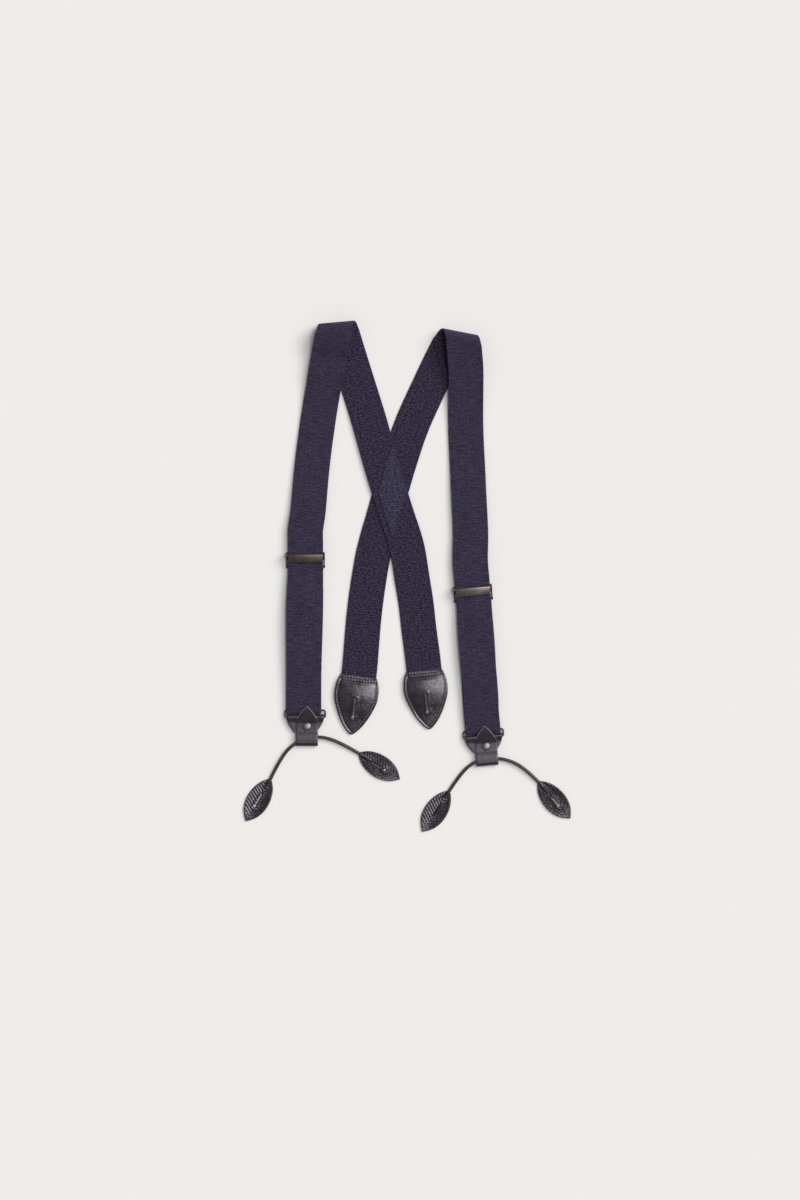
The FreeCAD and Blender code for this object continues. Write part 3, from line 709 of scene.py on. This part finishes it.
# ---- materials in use
M_OUT, M_IN, M_PATCH = webbing_outer(), webbing_inner(), webbing_patch()
M_LEATHER = leather("leather_tabs", (0.0062, 0.0056, 0.0072), 0.225)
M_LEAF = leather("leather_leaves", (0.0062, 0.0056, 0.0070), 0.225, wrinkle=0.4, grain=0.8, swell=0.6)
M_YOKE = leather("leather_yokes", (0.0075, 0.0068, 0.0088), 0.31, grain=0.4)
M_EDGE = leather("leather_cut_edge", (0.070, 0.064, 0.062), 0.62, grain=1.0)
M_CORD = leather("leather_cord", (0.0150, 0.0125, 0.0130), 0.42, wrinkle=0.3, grain=0.5)
# cut edge of the loop tab's tip, painted paler than the other cut edges: painted highlight
M_CUT_LIT = leather("leather_cut_edge_lit", (0.210, 0.195, 0.190), 0.55, grain=0.4)
# black thread given a grey colour so the stitches show as light dots: painted highlight
M_THREAD_GLINT = thread("thread_black_glint", (0.150, 0.147, 0.165))
M_THREAD_WEB = thread("thread_dark", (0.014, 0.012, 0.022))
M_BRONZE = metal("bronze_plate", (0.108, 0.088, 0.081), 0.44)
M_RING = metal("bronze_ring", (0.075, 0.062, 0.057), 0.26)
M_GUN = metal("gunmetal", (0.140, 0.141, 0.156), 0.36)
# a paler copy of bronze_plate for the right lever, which lies tilted towards the light: painted light
M_BRONZE_LIT = metal("bronze_plate_lit", (0.160, 0.138, 0.136), 0.36)
# darker than the plates because the frame's arms lie low in shadow: painted shade
M_FRAME_SHADED = metal("bronze_frame_shaded", (0.055, 0.044, 0.040), 0.34)


# ---- camera, light and floor
def camera():
    """Straight above, far off and with a long lens."""
    cam = bpy.data.cameras.new("camera")
    cam.sensor_width, cam.lens = 36, 108
    cam.clip_start, cam.clip_end = 0.1, 50
    ob = new_object("camera", cam)
    ob.location = (*metres((-6.75, -24.0, 0))[:2], 3.6)
    bpy.context.scene.camera = ob


def sun(name, energy, spread, azimuth, elevation):
    """A soft light: its strength, angular size, direction over +X and above the table."""
    light = bpy.data.lights.new(name, "SUN")
    light.energy, light.angle, light.color = energy, math.radians(spread), (1.0, 0.985, 0.97)
    ob = new_object(name, light)
    a, e = math.radians(azimuth), math.radians(elevation)
    way = Vector((math.cos(a) * math.cos(e), math.sin(a) * math.cos(e), math.sin(e)))
    ob.rotation_mode = "QUATERNION"
    ob.rotation_quaternion = way.to_track_quat("Z", "Y")


def room_light():
    sky = bpy.data.worlds.new("room")
    bpy.context.scene.world = sky
    sky.use_nodes = True
    background = sky.node_tree.nodes["Background"]
    background.inputs["Color"].default_value = (0.985, 0.99, 1.0, 1)
    background.inputs["Strength"].default_value = 0.295


def table():
    """A pale table a little below the lowest piece."""
    k = Nodes("table")
    patches = k.span(k.noise(k.place(), 0.004), 0.3, 0.7)
    colour = k.mix(patches, (0.800, 0.800, 0.786, 1), (0.806, 0.806, 0.792, 1))
    k.done(colour, 0.9, Specular_IOR_Level=0.1)
    reach, z = 6, -2e-4
    me = bpy.data.meshes.new("table")
    corners = [(-reach, -reach, z), (reach, -reach, z), (reach, reach, z), (-reach, reach, z)]
    me.from_pydata(corners, [], [(0, 1, 2, 3)])
    me.materials.append(k.mat)
    floor = new_object("table", me)


bpy.context.scene.view_settings.view_transform = "Standard"
bpy.context.scene.view_settings.look = "None"
camera()
sun("key", 1.90, 34, 30, 44)
sun("top_box", 1.14, 16, 18, 76)
room_light()
table()


# ---- runner cords
def runner_cord(side):
    name = side + "_cord"
    curve = bpy.data.curves.new(name, "CURVE")
    curve.dimensions = "3D"
    points = [metres(p) for p in CORD[side]]
    line = curve.splines.new("NURBS")
    line.points.add(len(points) - 1)
    for q, p in zip(line.points, points):
        q.co = (*p, 1.0)
    line.order_u = 3
    line.use_endpoint_u = True
    line.resolution_u = 24
    curve.bevel_depth = CORD_R / 1000
    curve.bevel_resolution = 6
    curve.use_fill_caps = True
    ob = new_object(name, curve)
    finish_piece(ob, [M_CORD], "runner_" + side, side + "_runner_cord")


for side in SIDES:
    runner_cord(side)


# ---- webbing straps
def fold_geometry(side):
    x, y, turn = FOLD[side]
    t = math.radians(turn)
    along = np.array([math.cos(t), math.sin(t), 0.0])
    outward = np.array([-math.sin(t), math.cos(t), 0.0])
    return np.array([x, y, THICK / 2 + BEND_R]), along, outward


def fold_stations(side, v0, way_back, way_front):
    """Round the shoulder, from the back run at -90 degrees to the front run at 90."""
    centre, along, outward = fold_geometry(side)
    slant = math.cos(math.radians(13))
    out = []
    for d in range(-90, 91, 5):
        share = (d + 90) / 180
        shift = BACK_SHIFT[side] * (1 - share) + FRONT_SHIFT[side] * share
        a = math.radians(d)
        radial = outward * math.cos(a) + UP * math.sin(a)
        here = centre + along * shift + radial * BEND_R
        way = unit(way_back * (1 - share) + way_front * share)
        out.append([here, along, radial, WEB / 2 / slant, v0 + math.pi * BEND_R * share, way])
    return out


def wavy(seed):
    """Small unevenness of a band of webbing: fullness, and edges that curl a touch."""
    def bow(q, v):
        edge = (abs(q) / 17.5) ** 4
        full = 0.10 * wobble(q * 0.4, v, 0, 34, seed) * (0.5 + 0.5 * edge)
        return full + 0.05 * wobble(q, v, 9, 9, seed)
    return bow


def creased(base, at, drop):
    """A packing crease straight across, and a quicker fall just below the shoulder."""
    def bow(q, v):
        d = v - at - 0.5 * wobble(q, 0, 0, 12, 3.0)
        fall = drop * math.exp(-((v - 27) / 11) ** 2)
        crease = 0.35 * math.exp(-(d / 0.9) ** 2) - 0.18 * math.exp(-((d - 1.9) / 1.0) ** 2)
        return base(q, v) - fall + crease
    return bow


def webbing(side, part, stations, body=None, bow=None, **faces):
    """One stretch of a strap, named after its CAD node."""
    ob = ribbon(side + "_" + part, stations, THICK, bow=bow, **faces)
    return finish_piece(ob, [M_OUT, M_IN], body, side + "_strap_" + part)


def arc(y, z, reach, rise, start, end):
    """Round a bar in a side profile: places and normals every 12 degrees."""
    angles = [math.radians(d) for d in range(start, end + 1, 12)]
    return [(y + reach * math.cos(a), z + rise * math.sin(a), math.cos(a), math.sin(a)) for a in angles]


def upper_strap(side, seed):
    """Back run, shoulder bend and front run. Gives the distance along at the adjuster."""
    centre, along, _ = fold_geometry(side)
    tab, adj = TAB["right" if side == "left" else "left"], ADJ[side]

    route = [centre + along * BACK_SHIFT[side] - UP * BEND_R] + BACK[side]
    route += [world(tab, 0, 2.5, 2.1), world(tab, 0, -17.5, 2.1)]
    back, _ = run_stations(route, along, side_of(tab), 0.0)
    ob = webbing(side, "back_run", back, "back", wavy(seed), upper=1, lower=0)

    route = [centre + along * FRONT_SHIFT[side] + UP * BEND_R] + FRONT[side]
    route += [world(adj, 0, 28.0, ADJ_LEVEL), world(adj, 0, 16.0, ADJ_LEVEL)]
    front, v_adj = run_stations(route, along, side_of(adj), 0.0)
    bend = fold_stations(side, -math.pi * BEND_R, -back[0][5], front[0][5])
    ob = webbing(side, "shoulder_bend", bend)
    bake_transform(ob)

    bow = creased(wavy(seed + 1), CREASE_AT, 3.4 if side == "left" else 0.8)
    ob = webbing(side, "front_run", front, "front_" + side, bow)
    return v_adj


def lower_run(side, seed, v0):
    """Through the adjuster and down to the ring."""
    adj, ring, shift, top = ADJ[side], RING[side], RING_SHIFT[side], RING_Z + TURN_R
    route = [world(adj, 0, y, ADJ_LEVEL) for y in (15.95, 6.0, -4.0, -12.0)] + LOWER[side]
    route += [world(ring, shift, 20.0, top + 0.3), world(ring, shift, TURN_LEG + 0.1, top)]
    lower, v = run_stations(route, side_of(adj), side_of(ring), v0)
    ob = webbing(side, "lower_run", lower, None, wavy(seed))
    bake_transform(ob)
    return v


def ring_turn(side, v0):
    """Round the ring's upper bar."""
    top, low = RING_Z + TURN_R, RING_Z - TURN_R
    path = [(TURN_LEG + 0.05, top, 0, 1), (3.0, top, 0, 1)]
    path += arc(0.0, RING_Z, TURN_REACH, TURN_R, 90, 270)
    path += [(3.0, low, 0, -1), (TURN_LEG + 0.05, low, 0, -1)]
    turn, v = local_stations(RING[side], path, RING_SHIFT[side], WEB / 2, v0)
    webbing(side, "ring_turn", turn, "loop_" + side)
    return v


def return_run(side, v0):
    """Back under the front layer to the sewn tail."""
    adj, ring, shift, low = ADJ[side], RING[side], RING_SHIFT[side], RING_Z - TURN_R
    route = [world(ring, shift, TURN_LEG + 0.05, low), world(ring, shift, 30.0, low),
             world(adj, 0, -45.0, LYING), world(adj, 0, TAIL_END - GAP, LYING)]
    under, v = run_stations(route, side_of(ring), side_of(adj), v0)
    for s in under:
        s[2] = -s[2]
    ob = webbing(side, "return_run", under)
    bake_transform(ob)
    return v


def tail_fold(side, v0):
    """The sewn tail, folded round the adjuster's rear bar, and its two rows of stitches."""
    adj, bar, bar_z, reach = ADJ[side], -8.4, 2.65, 1.85
    path = [(TAIL_END, LYING, 0, -1), (-18.0, 0.80, 0, -1), (bar - 2, 0.80, 0, -1)]
    path += arc(bar, bar_z, reach, reach, -90, 90)
    path += [(bar - 3, 4.1, -0.2, 1), (-14.5, 2.55, -0.15, 1), (-20, 2.5, 0, 1), (TAIL_END, 2.5, 0, 1)]
    tail, _ = local_stations(adj, path, 0.0, WEB / 2, v0)
    webbing(side, "tail_fold", tail, "adjuster_" + side)
    rows = []
    for y in (-18.5, -24.0):
        rows += row_between((-15.5, y), (15.5, y), 3.34, STITCH_PITCH)
    stitches(side + "_tail_thread", adj, rows, M_THREAD_WEB, "adjuster_" + side, side + "_tail_stitching")


def strap(side):
    """One length of webbing from the leather end at the back to its sewn end at the adjuster."""
    seed = 2.0 if side == "left" else 7.0
    v = upper_strap(side, seed)
    v = lower_run(side, seed + 2, v)
    v = ring_turn(side, v)
    v = return_run(side, v)
    tail_fold(side, v)


for side in SIDES:
    strap(side)


# ---- crossing patch
def crossing():
    wide, tall, thick, base = 14.2, 46.0, 0.7, 3.75
    loop = np.array([(0, tall), (-wide, 0), (0, -tall), (wide, 0)])

    def inside(x, y):
        return polygon_distance(loop, x, y)

    def top(x, y, d):
        groove = 0.42 * np.exp(-((d - 1.6) / 0.6) ** 2)
        pad = 0.25 * np.clip((d - 1.6) / 4.0, 0, 1)
        return base + thick + pad - groove + 0.06 * grid_noise(x, y, 6, 4.0)

    ob = slab("crossing_pad", CROSSING, inside, (-15, -47, 15, 47), 0.6,
              top, lambda x, y, d: base + 0 * x, 0.35)
    finish_piece(ob, [M_PATCH, M_PATCH], "back", "crossing_patch")
    pts = [(0, tall - 4.2), (-wide + 1.6, 0), (0, -tall + 4.2), (wide - 1.6, 0)]
    rows = []
    for a, b in zip(pts, pts[1:] + pts[:1]):
        rows += row_between(a, b, base + thick - 0.12, 3.0)
    stitches("crossing_thread", CROSSING, rows, M_THREAD_WEB, "back", "crossing_stitching", 2.1, 0.75, 0.36)


crossing()


# ---- leather ends of the back straps
TAB_SIDE = smooth_profile([
    (17.8, 0), (20.6, -7), (21.9, -17), (21.2, -25), (18.6, -33),
    (12.2, -46.5), (6.6, -54.2), (3.0, -57.9)]) + [(1.4, -58.8), (0.0, -59.0)]
TAB_CROSS_ROWS = (-2.2, -5.0)


def tab_hole(x, y):
    return keyhole_distance(TAB_SLIT, TAB_EYE, x, y)


def tab_inside(x, y):
    return np.maximum(profile_distance(TAB_SIDE, x, y), -tab_hole(x, y))


def seam_distance(x, y):
    """How far a point is from the row of stitches down the edges."""
    return np.abs(-profile_distance(TAB_SIDE, x, y) - TAB_SEAM)


def tab_level(y):
    """The tab's height without its crown: off the strap's end and down to the table."""
    share = np.clip((-y - 17.6) / 28.0, 0, 1)
    share = share * share * (3 - 2 * share)
    return 4.2 * (1 - share) + 2.42 * share


def tab_crown(x, y):
    ends = np.clip((-y - 1.0) / 9.0, 0, 1) * np.clip((y + 60.0) / 26.0, 0, 1)
    return 1.5 * np.clip(1 - (x / 22.5) ** 2, 0, 1) * ends


def tab_stitches():
    """A row down each edge, and rows straight across the top."""
    inner = []
    for (ax, ay), (bx, by) in zip(TAB_SIDE[:-1], TAB_SIDE[1:]):
        n = unit([ay - by, bx - ax])
        n = n if n[0] < 0 else -n
        inner.append(((ax + bx) / 2 + TAB_SEAM * n[0], (ay + by) / 2 + TAB_SEAM * n[1]))
    inner = np.array([p for p in inner if p[1] < -5 and p[0] > 1.5])
    dist = np.concatenate([[0], np.cumsum(np.hypot(*np.diff(inner, axis=0).T))])

    def seam(d):
        return np.interp(d, dist, inner[:, 0]), np.interp(d, dist, inner[:, 1])

    rows = []
    for d in np.arange(1.3, dist[-1], STITCH_PITCH):
        x, y = seam(d)
        ahead = seam(d + 0.5)
        deg = math.degrees(math.atan2(ahead[1] - y, ahead[0] - x))
        z = tab_level(y) + tab_crown(x, y) - 0.06
        rows += [(x, y, z, deg), (-x, y, z, -deg)]
    for y, z in zip(TAB_CROSS_ROWS, (4.12, 4.22)):
        rows += row_between((-15.4, y), (15.4, y), z, STITCH_PITCH)
    return rows


def back_tab(side):
    local, seed = TAB[side], 11.0 if side == "left" else 17.0
    box = (-23, -60, 23, 1)

    def top(x, y, d):
        z = tab_level(y) + tab_crown(x, y)
        z = z + 0.15 * grid_noise(x, y, 14, seed) + 0.03 * grid_noise(x, y, 3.2, seed + 1)
        z = z - 0.22 * np.exp(-(seam_distance(x, y) / 0.8) ** 2) * np.clip((-y - 3) / 3, 0, 1)
        pucker = 1 + 0.5 * np.sin(x * 2 * math.pi / STITCH_PITCH)
        for row in TAB_CROSS_ROWS:
            z = z - 0.22 * np.exp(-((y - row) / 0.7) ** 2) * pucker
        return z + 0.22 * np.exp(-((tab_hole(x, y) - 1.3) / 1.1) ** 2) * (y < -20)

    def under(x, y, d):
        return tab_level(y) + tab_crown(x, y) - LEATHER

    def lip(x, y):
        return tab_hole(x, y) < 0.42

    ob = slab(side + "_tab_face", local, tab_inside, box, 0.4, top, under, 0.45, pale=lip)
    finish_piece(ob, [M_LEATHER, M_EDGE], "back", side + "_back_tab_face")
    ob = slab(side + "_tab_lining", local, tab_inside, box, 0.9,
              lambda x, y, d: LEATHER + 0 * x, lambda x, y, d: 0 * x, 0.25)
    finish_piece(ob, [M_LEATHER, M_EDGE], "back", side + "_back_tab_lining")
    stitches(side + "_tab_thread", local, tab_stitches(), M_THREAD_GLINT, "back",
             side + "_back_tab_stitching", 1.9, 0.75, 0.38)


for side in SIDES:
    back_tab(side)


# ---- buttonhole leaves
LEAF_SIDE = smooth_profile([
    (1.7, 0), (5.2, -4.0), (9.7, -13), (11.3, -22), (10.6, -31.5), (7.0, -40.4), (0.35, -48.0)])


def leaf(side, which, end, seed, slit_from, eye_r):
    """A buttonhole leaf at one end of the cord, creased like a feather."""
    name = side + "_leaf_" + which
    x, y = CORD[side][end][:2]
    heading = LEAF_HEADING[side + "_" + which]
    a = math.radians(heading)
    local = (x + 0.12 * math.cos(a), y + 0.12 * math.sin(a), heading + 90)

    def hole(px, py):
        return keyhole_distance(slit_from, LEAF_EYE, px, py, 0.9, eye_r)

    def inside(px, py):
        return np.maximum(profile_distance(LEAF_SIDE, px, py), -hole(px, py))

    def lip_pale(px, py):
        return hole(px, py) < 0.40

    def creases(px, s, d):
        """Feather-like across, and rays that run out from the neck."""
        drift = 0.45 * grid_noise(px, -s, 10, seed + 3)
        feather = np.sin((s + 0.6 * np.abs(px) + drift) * 2 * math.pi / 3.1)
        feather *= 0.7 + 0.35 * np.clip(grid_noise(px, -s, 8, seed + 4) * 1.6 + 0.6, 0, 1.2)
        feather *= np.clip((s - 3) / 5, 0, 1) * np.clip((44 - s) / 14, 0, 1) * np.clip((d - 0.3) / 1.5, 0, 1)
        spread = px / np.maximum(2.5, s + 4.0)
        rays = np.sin(spread * 15 + 2.5 * grid_noise(px, -s, 9, seed + 5))
        rays *= np.exp(-s / 13) * np.clip(s / 3, 0, 1)
        swirl = np.sin(spread * 23 + s * 0.35 + 3 * grid_noise(px, -s, 7, seed + 8))
        return 0.30 * feather + 0.16 * rays + 0.06 * swirl * np.exp(-((s - 11) / 9) ** 2)

    def neck_roll(px, s):
        """The cord's leather, spreading into the leaf between two valleys."""
        half = np.interp(s, [0, 6, 14, 20], [1.65, 1.7, 1.1, 0.6])
        roll = np.interp(s, [0, 5, 12, 17], [1.35, 1.1, 0.35, 0.0])
        ridge = roll * np.sqrt(np.maximum(0, 1 - (px / (half * 1.25)) ** 2))
        return ridge - 0.25 * np.exp(-((np.abs(px) - half * 1.7) / 0.9) ** 2) * np.clip(roll, 0, 1)

    def buttonhole(px, s):
        """A raised lip round the hole, and a groove along the slit."""
        closed = np.exp(-(px / 0.5) ** 2) * np.clip((s - 14) / 2, 0, 1) * np.clip((LEAF_EYE - s) / 2, 0, 1)
        return 0.25 * np.exp(-((hole(px, -s) - 1.4) / 1.2) ** 2) - 0.75 * closed

    def top(px, py, d):
        s = -py
        base = 1.9 + 0.25 * grid_noise(px, py, 12, seed) + 0.05 * grid_noise(px, py, 2.6, seed + 2)
        curl = 0.35 * np.exp(-d / 2.0) * np.clip((s - 8) / 14, 0, 1)
        bowl = 0.35 * (px / 11.0) ** 2 * np.clip((s - 5) / 10, 0, 1)
        return base + creases(px, s, d) + neck_roll(px, s) + buttonhole(px, s) + curl * 0.6 + bowl

    ob = slab(name + "_buttonhole", local, inside, (-12.5, -49, 12.5, 0.5), 0.42,
              top, lambda px, py, d: 0.02 + 0 * px, 0.6, pale=lip_pale if which == "outer" else None)
    finish_piece(ob, [M_LEAF, M_EDGE], "runner_" + side, name)


# the slits of the two inner leaves are closed, so only their eyes are cut
leaf("left", "outer", 0, 21.0, 17.0, 1.3)
leaf("left", "inner", -1, 25.0, 30.2, 1.25)
leaf("right", "outer", -1, 31.0, 21.5, 1.3)
leaf("right", "inner", 0, 35.0, 30.2, 0.8)


# ---- yoke, loop tab and rivet
def width_by(table):
    """Half the width at y, from pairs of y and half width."""
    ys, ws = zip(*sorted(table))
    return lambda y: float(np.interp(y, ys, ws))


def dense(path, step=0.5):
    """More stations along a side profile of (y, z), with normals to its left."""
    p = np.asarray(path, float)
    t = np.concatenate([[0], np.cumsum(np.hypot(*np.diff(p, axis=0).T))])
    ds = np.arange(0, t[-1] + 1e-6, step)
    y, z = np.interp(ds, t, p[:, 0]), np.interp(ds, t, p[:, 1])
    k = np.array([0.25, 0.5, 0.25])
    for _ in range(2):
        y[1:-1], z[1:-1] = np.convolve(y, k, "valid"), np.convolve(z, k, "valid")
    gy, gz = np.gradient(y), np.gradient(z)
    n = np.hypot(gy, gz)
    return [(a, b, -d / m, c / m) for a, b, c, d, m in zip(y, z, gy, gz, n)]


def yoke(side):
    """Leather folded over the ring's lower bar."""
    bar, reach, rise = -BAR_GAP, 2.85, 1.7
    angles = np.linspace(math.pi / 2, -math.pi / 2, 15)
    fold = [(bar + reach * math.cos(a), RING_Z + rise * math.sin(a)) for a in angles]
    profile = dense([(-22.3, 3.6), (-11.6, 3.6)] + fold + [(-11.6, 2.4), (-22.3, 2.4)])
    half = width_by([(0, 18.75), (-8, 18.75), (-10.5, 18.1), (-13, 17.2),
                     (-16, 15.5), (-19, 13.4), (-22.5, 10.7)])
    stations, _ = local_stations(RING[side], profile, -0.4, half, 0.0)
    ob = ribbon(side + "_yoke_leather", stations, LEATHER, columns=24, lower=0, edge_r=0.4, rim=1)
    finish_piece(ob, [M_YOKE, M_EDGE], "yoke_" + side, side + "_yoke")


def loop_tab(side):
    """The riveted strip with the runner's loop, in two pieces that part at the ring's lower bar."""
    ring, bar = RING[side], -BAR_GAP
    loop_y, loop_z, loop_r = -32.65, 3.15, 2.55
    over = [(4.2, 8.35), (-3.0, 7.0), (-8.0, 6.05), (-12.8, 4.95), (-17.0, 4.85), (-20.8, 4.85),
            (-25.0, 5.55), (-28.5, 5.8), (loop_y, loop_z + loop_r)]
    angles = np.linspace(math.pi / 2, -math.pi / 2, 17)[1:-1]
    loop = [(loop_y - loop_r * math.cos(a), loop_z + loop_r * math.sin(a)) for a in angles]
    under = [(loop_y, loop_z - loop_r), (-24.0, 0.6), (-20.8, 1.15), (-11.7, 1.15)]
    profile = dense(over + loop + under)
    half = width_by([(4.3, 0.5), (3.2, 1.6), (-2.2, 6.4), (-9.4, 11.1), (-37, 10.9)])
    cut = next(i for i, p in enumerate(profile) if p[0] < bar)

    tip, _ = local_stations(ring, profile[:cut + 1], TAB_SHIFT, half, 0.0)
    ob = ribbon(side + "_loop_tab_tip", tip, LEATHER, columns=16, lower=0, edge_r=0.6, rim=1)
    # the tip's cut edge takes the paler copy: painted highlight
    finish_piece(ob, [M_YOKE, M_CUT_LIT], None, side + "_loop_tab")
    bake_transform(ob)

    strip, _ = local_stations(ring, profile[cut:], TAB_SHIFT, half, 0.0)
    ob = ribbon(side + "_loop_tab_strip", strip, LEATHER, columns=16, lower=0, edge_r=0.4, rim=1)
    finish_piece(ob, [M_YOKE, M_EDGE], None, side + "_loop_tab")
    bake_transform(ob)


def rivet(side):
    """A domed cap with a rolled rim and a shallow ring."""
    base = 4.25 + LEATHER
    dome = [(0, 1.30), (1.0, 1.28), (1.9, 1.20), (2.5, 1.10), (2.9, 1.10),
            (3.4, 0.98), (4.0, 0.66), (4.33, 0.36), (4.4, 0.12), (4.36, 0.0)]
    around, pts, faces = 48, [], []
    for r, h in dome:
        for j in range(around):
            a = 2 * math.pi * j / around
            pts.append((TAB_SHIFT + r * math.cos(a), RIVET_Y + r * math.sin(a), base + h))
    for i in range(len(dome) - 1):
        for j in range(around):
            k = (j + 1) % around
            faces.append((i * around + j, (i + 1) * around + j, (i + 1) * around + k, i * around + k))
    faces.append(tuple((len(dome) - 1) * around + j for j in reversed(range(around))))
    ob = mesh_object(side + "_rivet_dome", pts, faces, 40, RING[side])
    finish_piece(ob, [M_GUN], "yoke_" + side, side + "_rivet_cap")


def wire_ring(side):
    """The wire loop, swept round its rounded rectangle."""
    r = 1.9  # of its corners
    low, high = (-20.4, 19.5) if side == "left" else (-20.0, 19.6)
    line = []
    for cx, cy, a0 in ((high - r, -r, 90), (high - r, -BAR_GAP + r, 0),
                       (low + r, -BAR_GAP + r, -90), (low + r, -r, -180)):
        for d in range(0, 91, 10):
            a = math.radians(a0 - d)
            line.append((cx + r * math.cos(a), cy + r * math.sin(a)))
    n, around, pts, faces = len(line), 16, [], []
    for i in range(n):
        a, b = np.array(line[i - 1]), np.array(line[(i + 1) % n])
        way = unit(b - a)
        out = np.array([way[1], -way[0]])
        for j in range(around):
            t = 2 * math.pi * j / around
            q = np.array(line[i]) + out * WIRE_R * math.cos(t)
            pts.append((q[0], q[1], RING_Z + WIRE_R * math.sin(t)))
    for i in range(n):
        for j in range(around):
            k, m = (j + 1) % around, (i + 1) % n
            faces.append((i * around + j, i * around + k, m * around + k, m * around + j))
    ob = mesh_object(side + "_wire_ring", pts, faces, 60, RING[side])
    face_outwards(ob)
    finish_piece(ob, [M_RING], "ring_" + side, side + "_ring")


for side in SIDES:
    yoke(side)
    loop_tab(side)
    rivet(side)
    wire_ring(side)
    slide = "adjuster_" + side
    # the right lever gets the lit copy of the plate: painted light
    plate = M_BRONZE if side == "left" else M_BRONZE_LIT
    rounded_copy(side + "_post", side + "_rivet_post", 0.15, M_GUN, "yoke_" + side)
    # the frame takes the darkened bronze: painted shade
    rounded_copy(side + "_slide_frame", side + "_adjuster_frame", 0.22, M_FRAME_SHADED, slide)
    rounded_copy(side + "_slide_lever", side + "_adjuster_lever", 0.18, plate, "lever_" + side)
    rounded_copy(side + "_slide_pin", side + "_adjuster_pivot_pin", 0.2, M_RING, slide)
    rounded_copy(side + "_slide_bar", side + "_adjuster_rear_bar", 0.2, M_RING, slide)
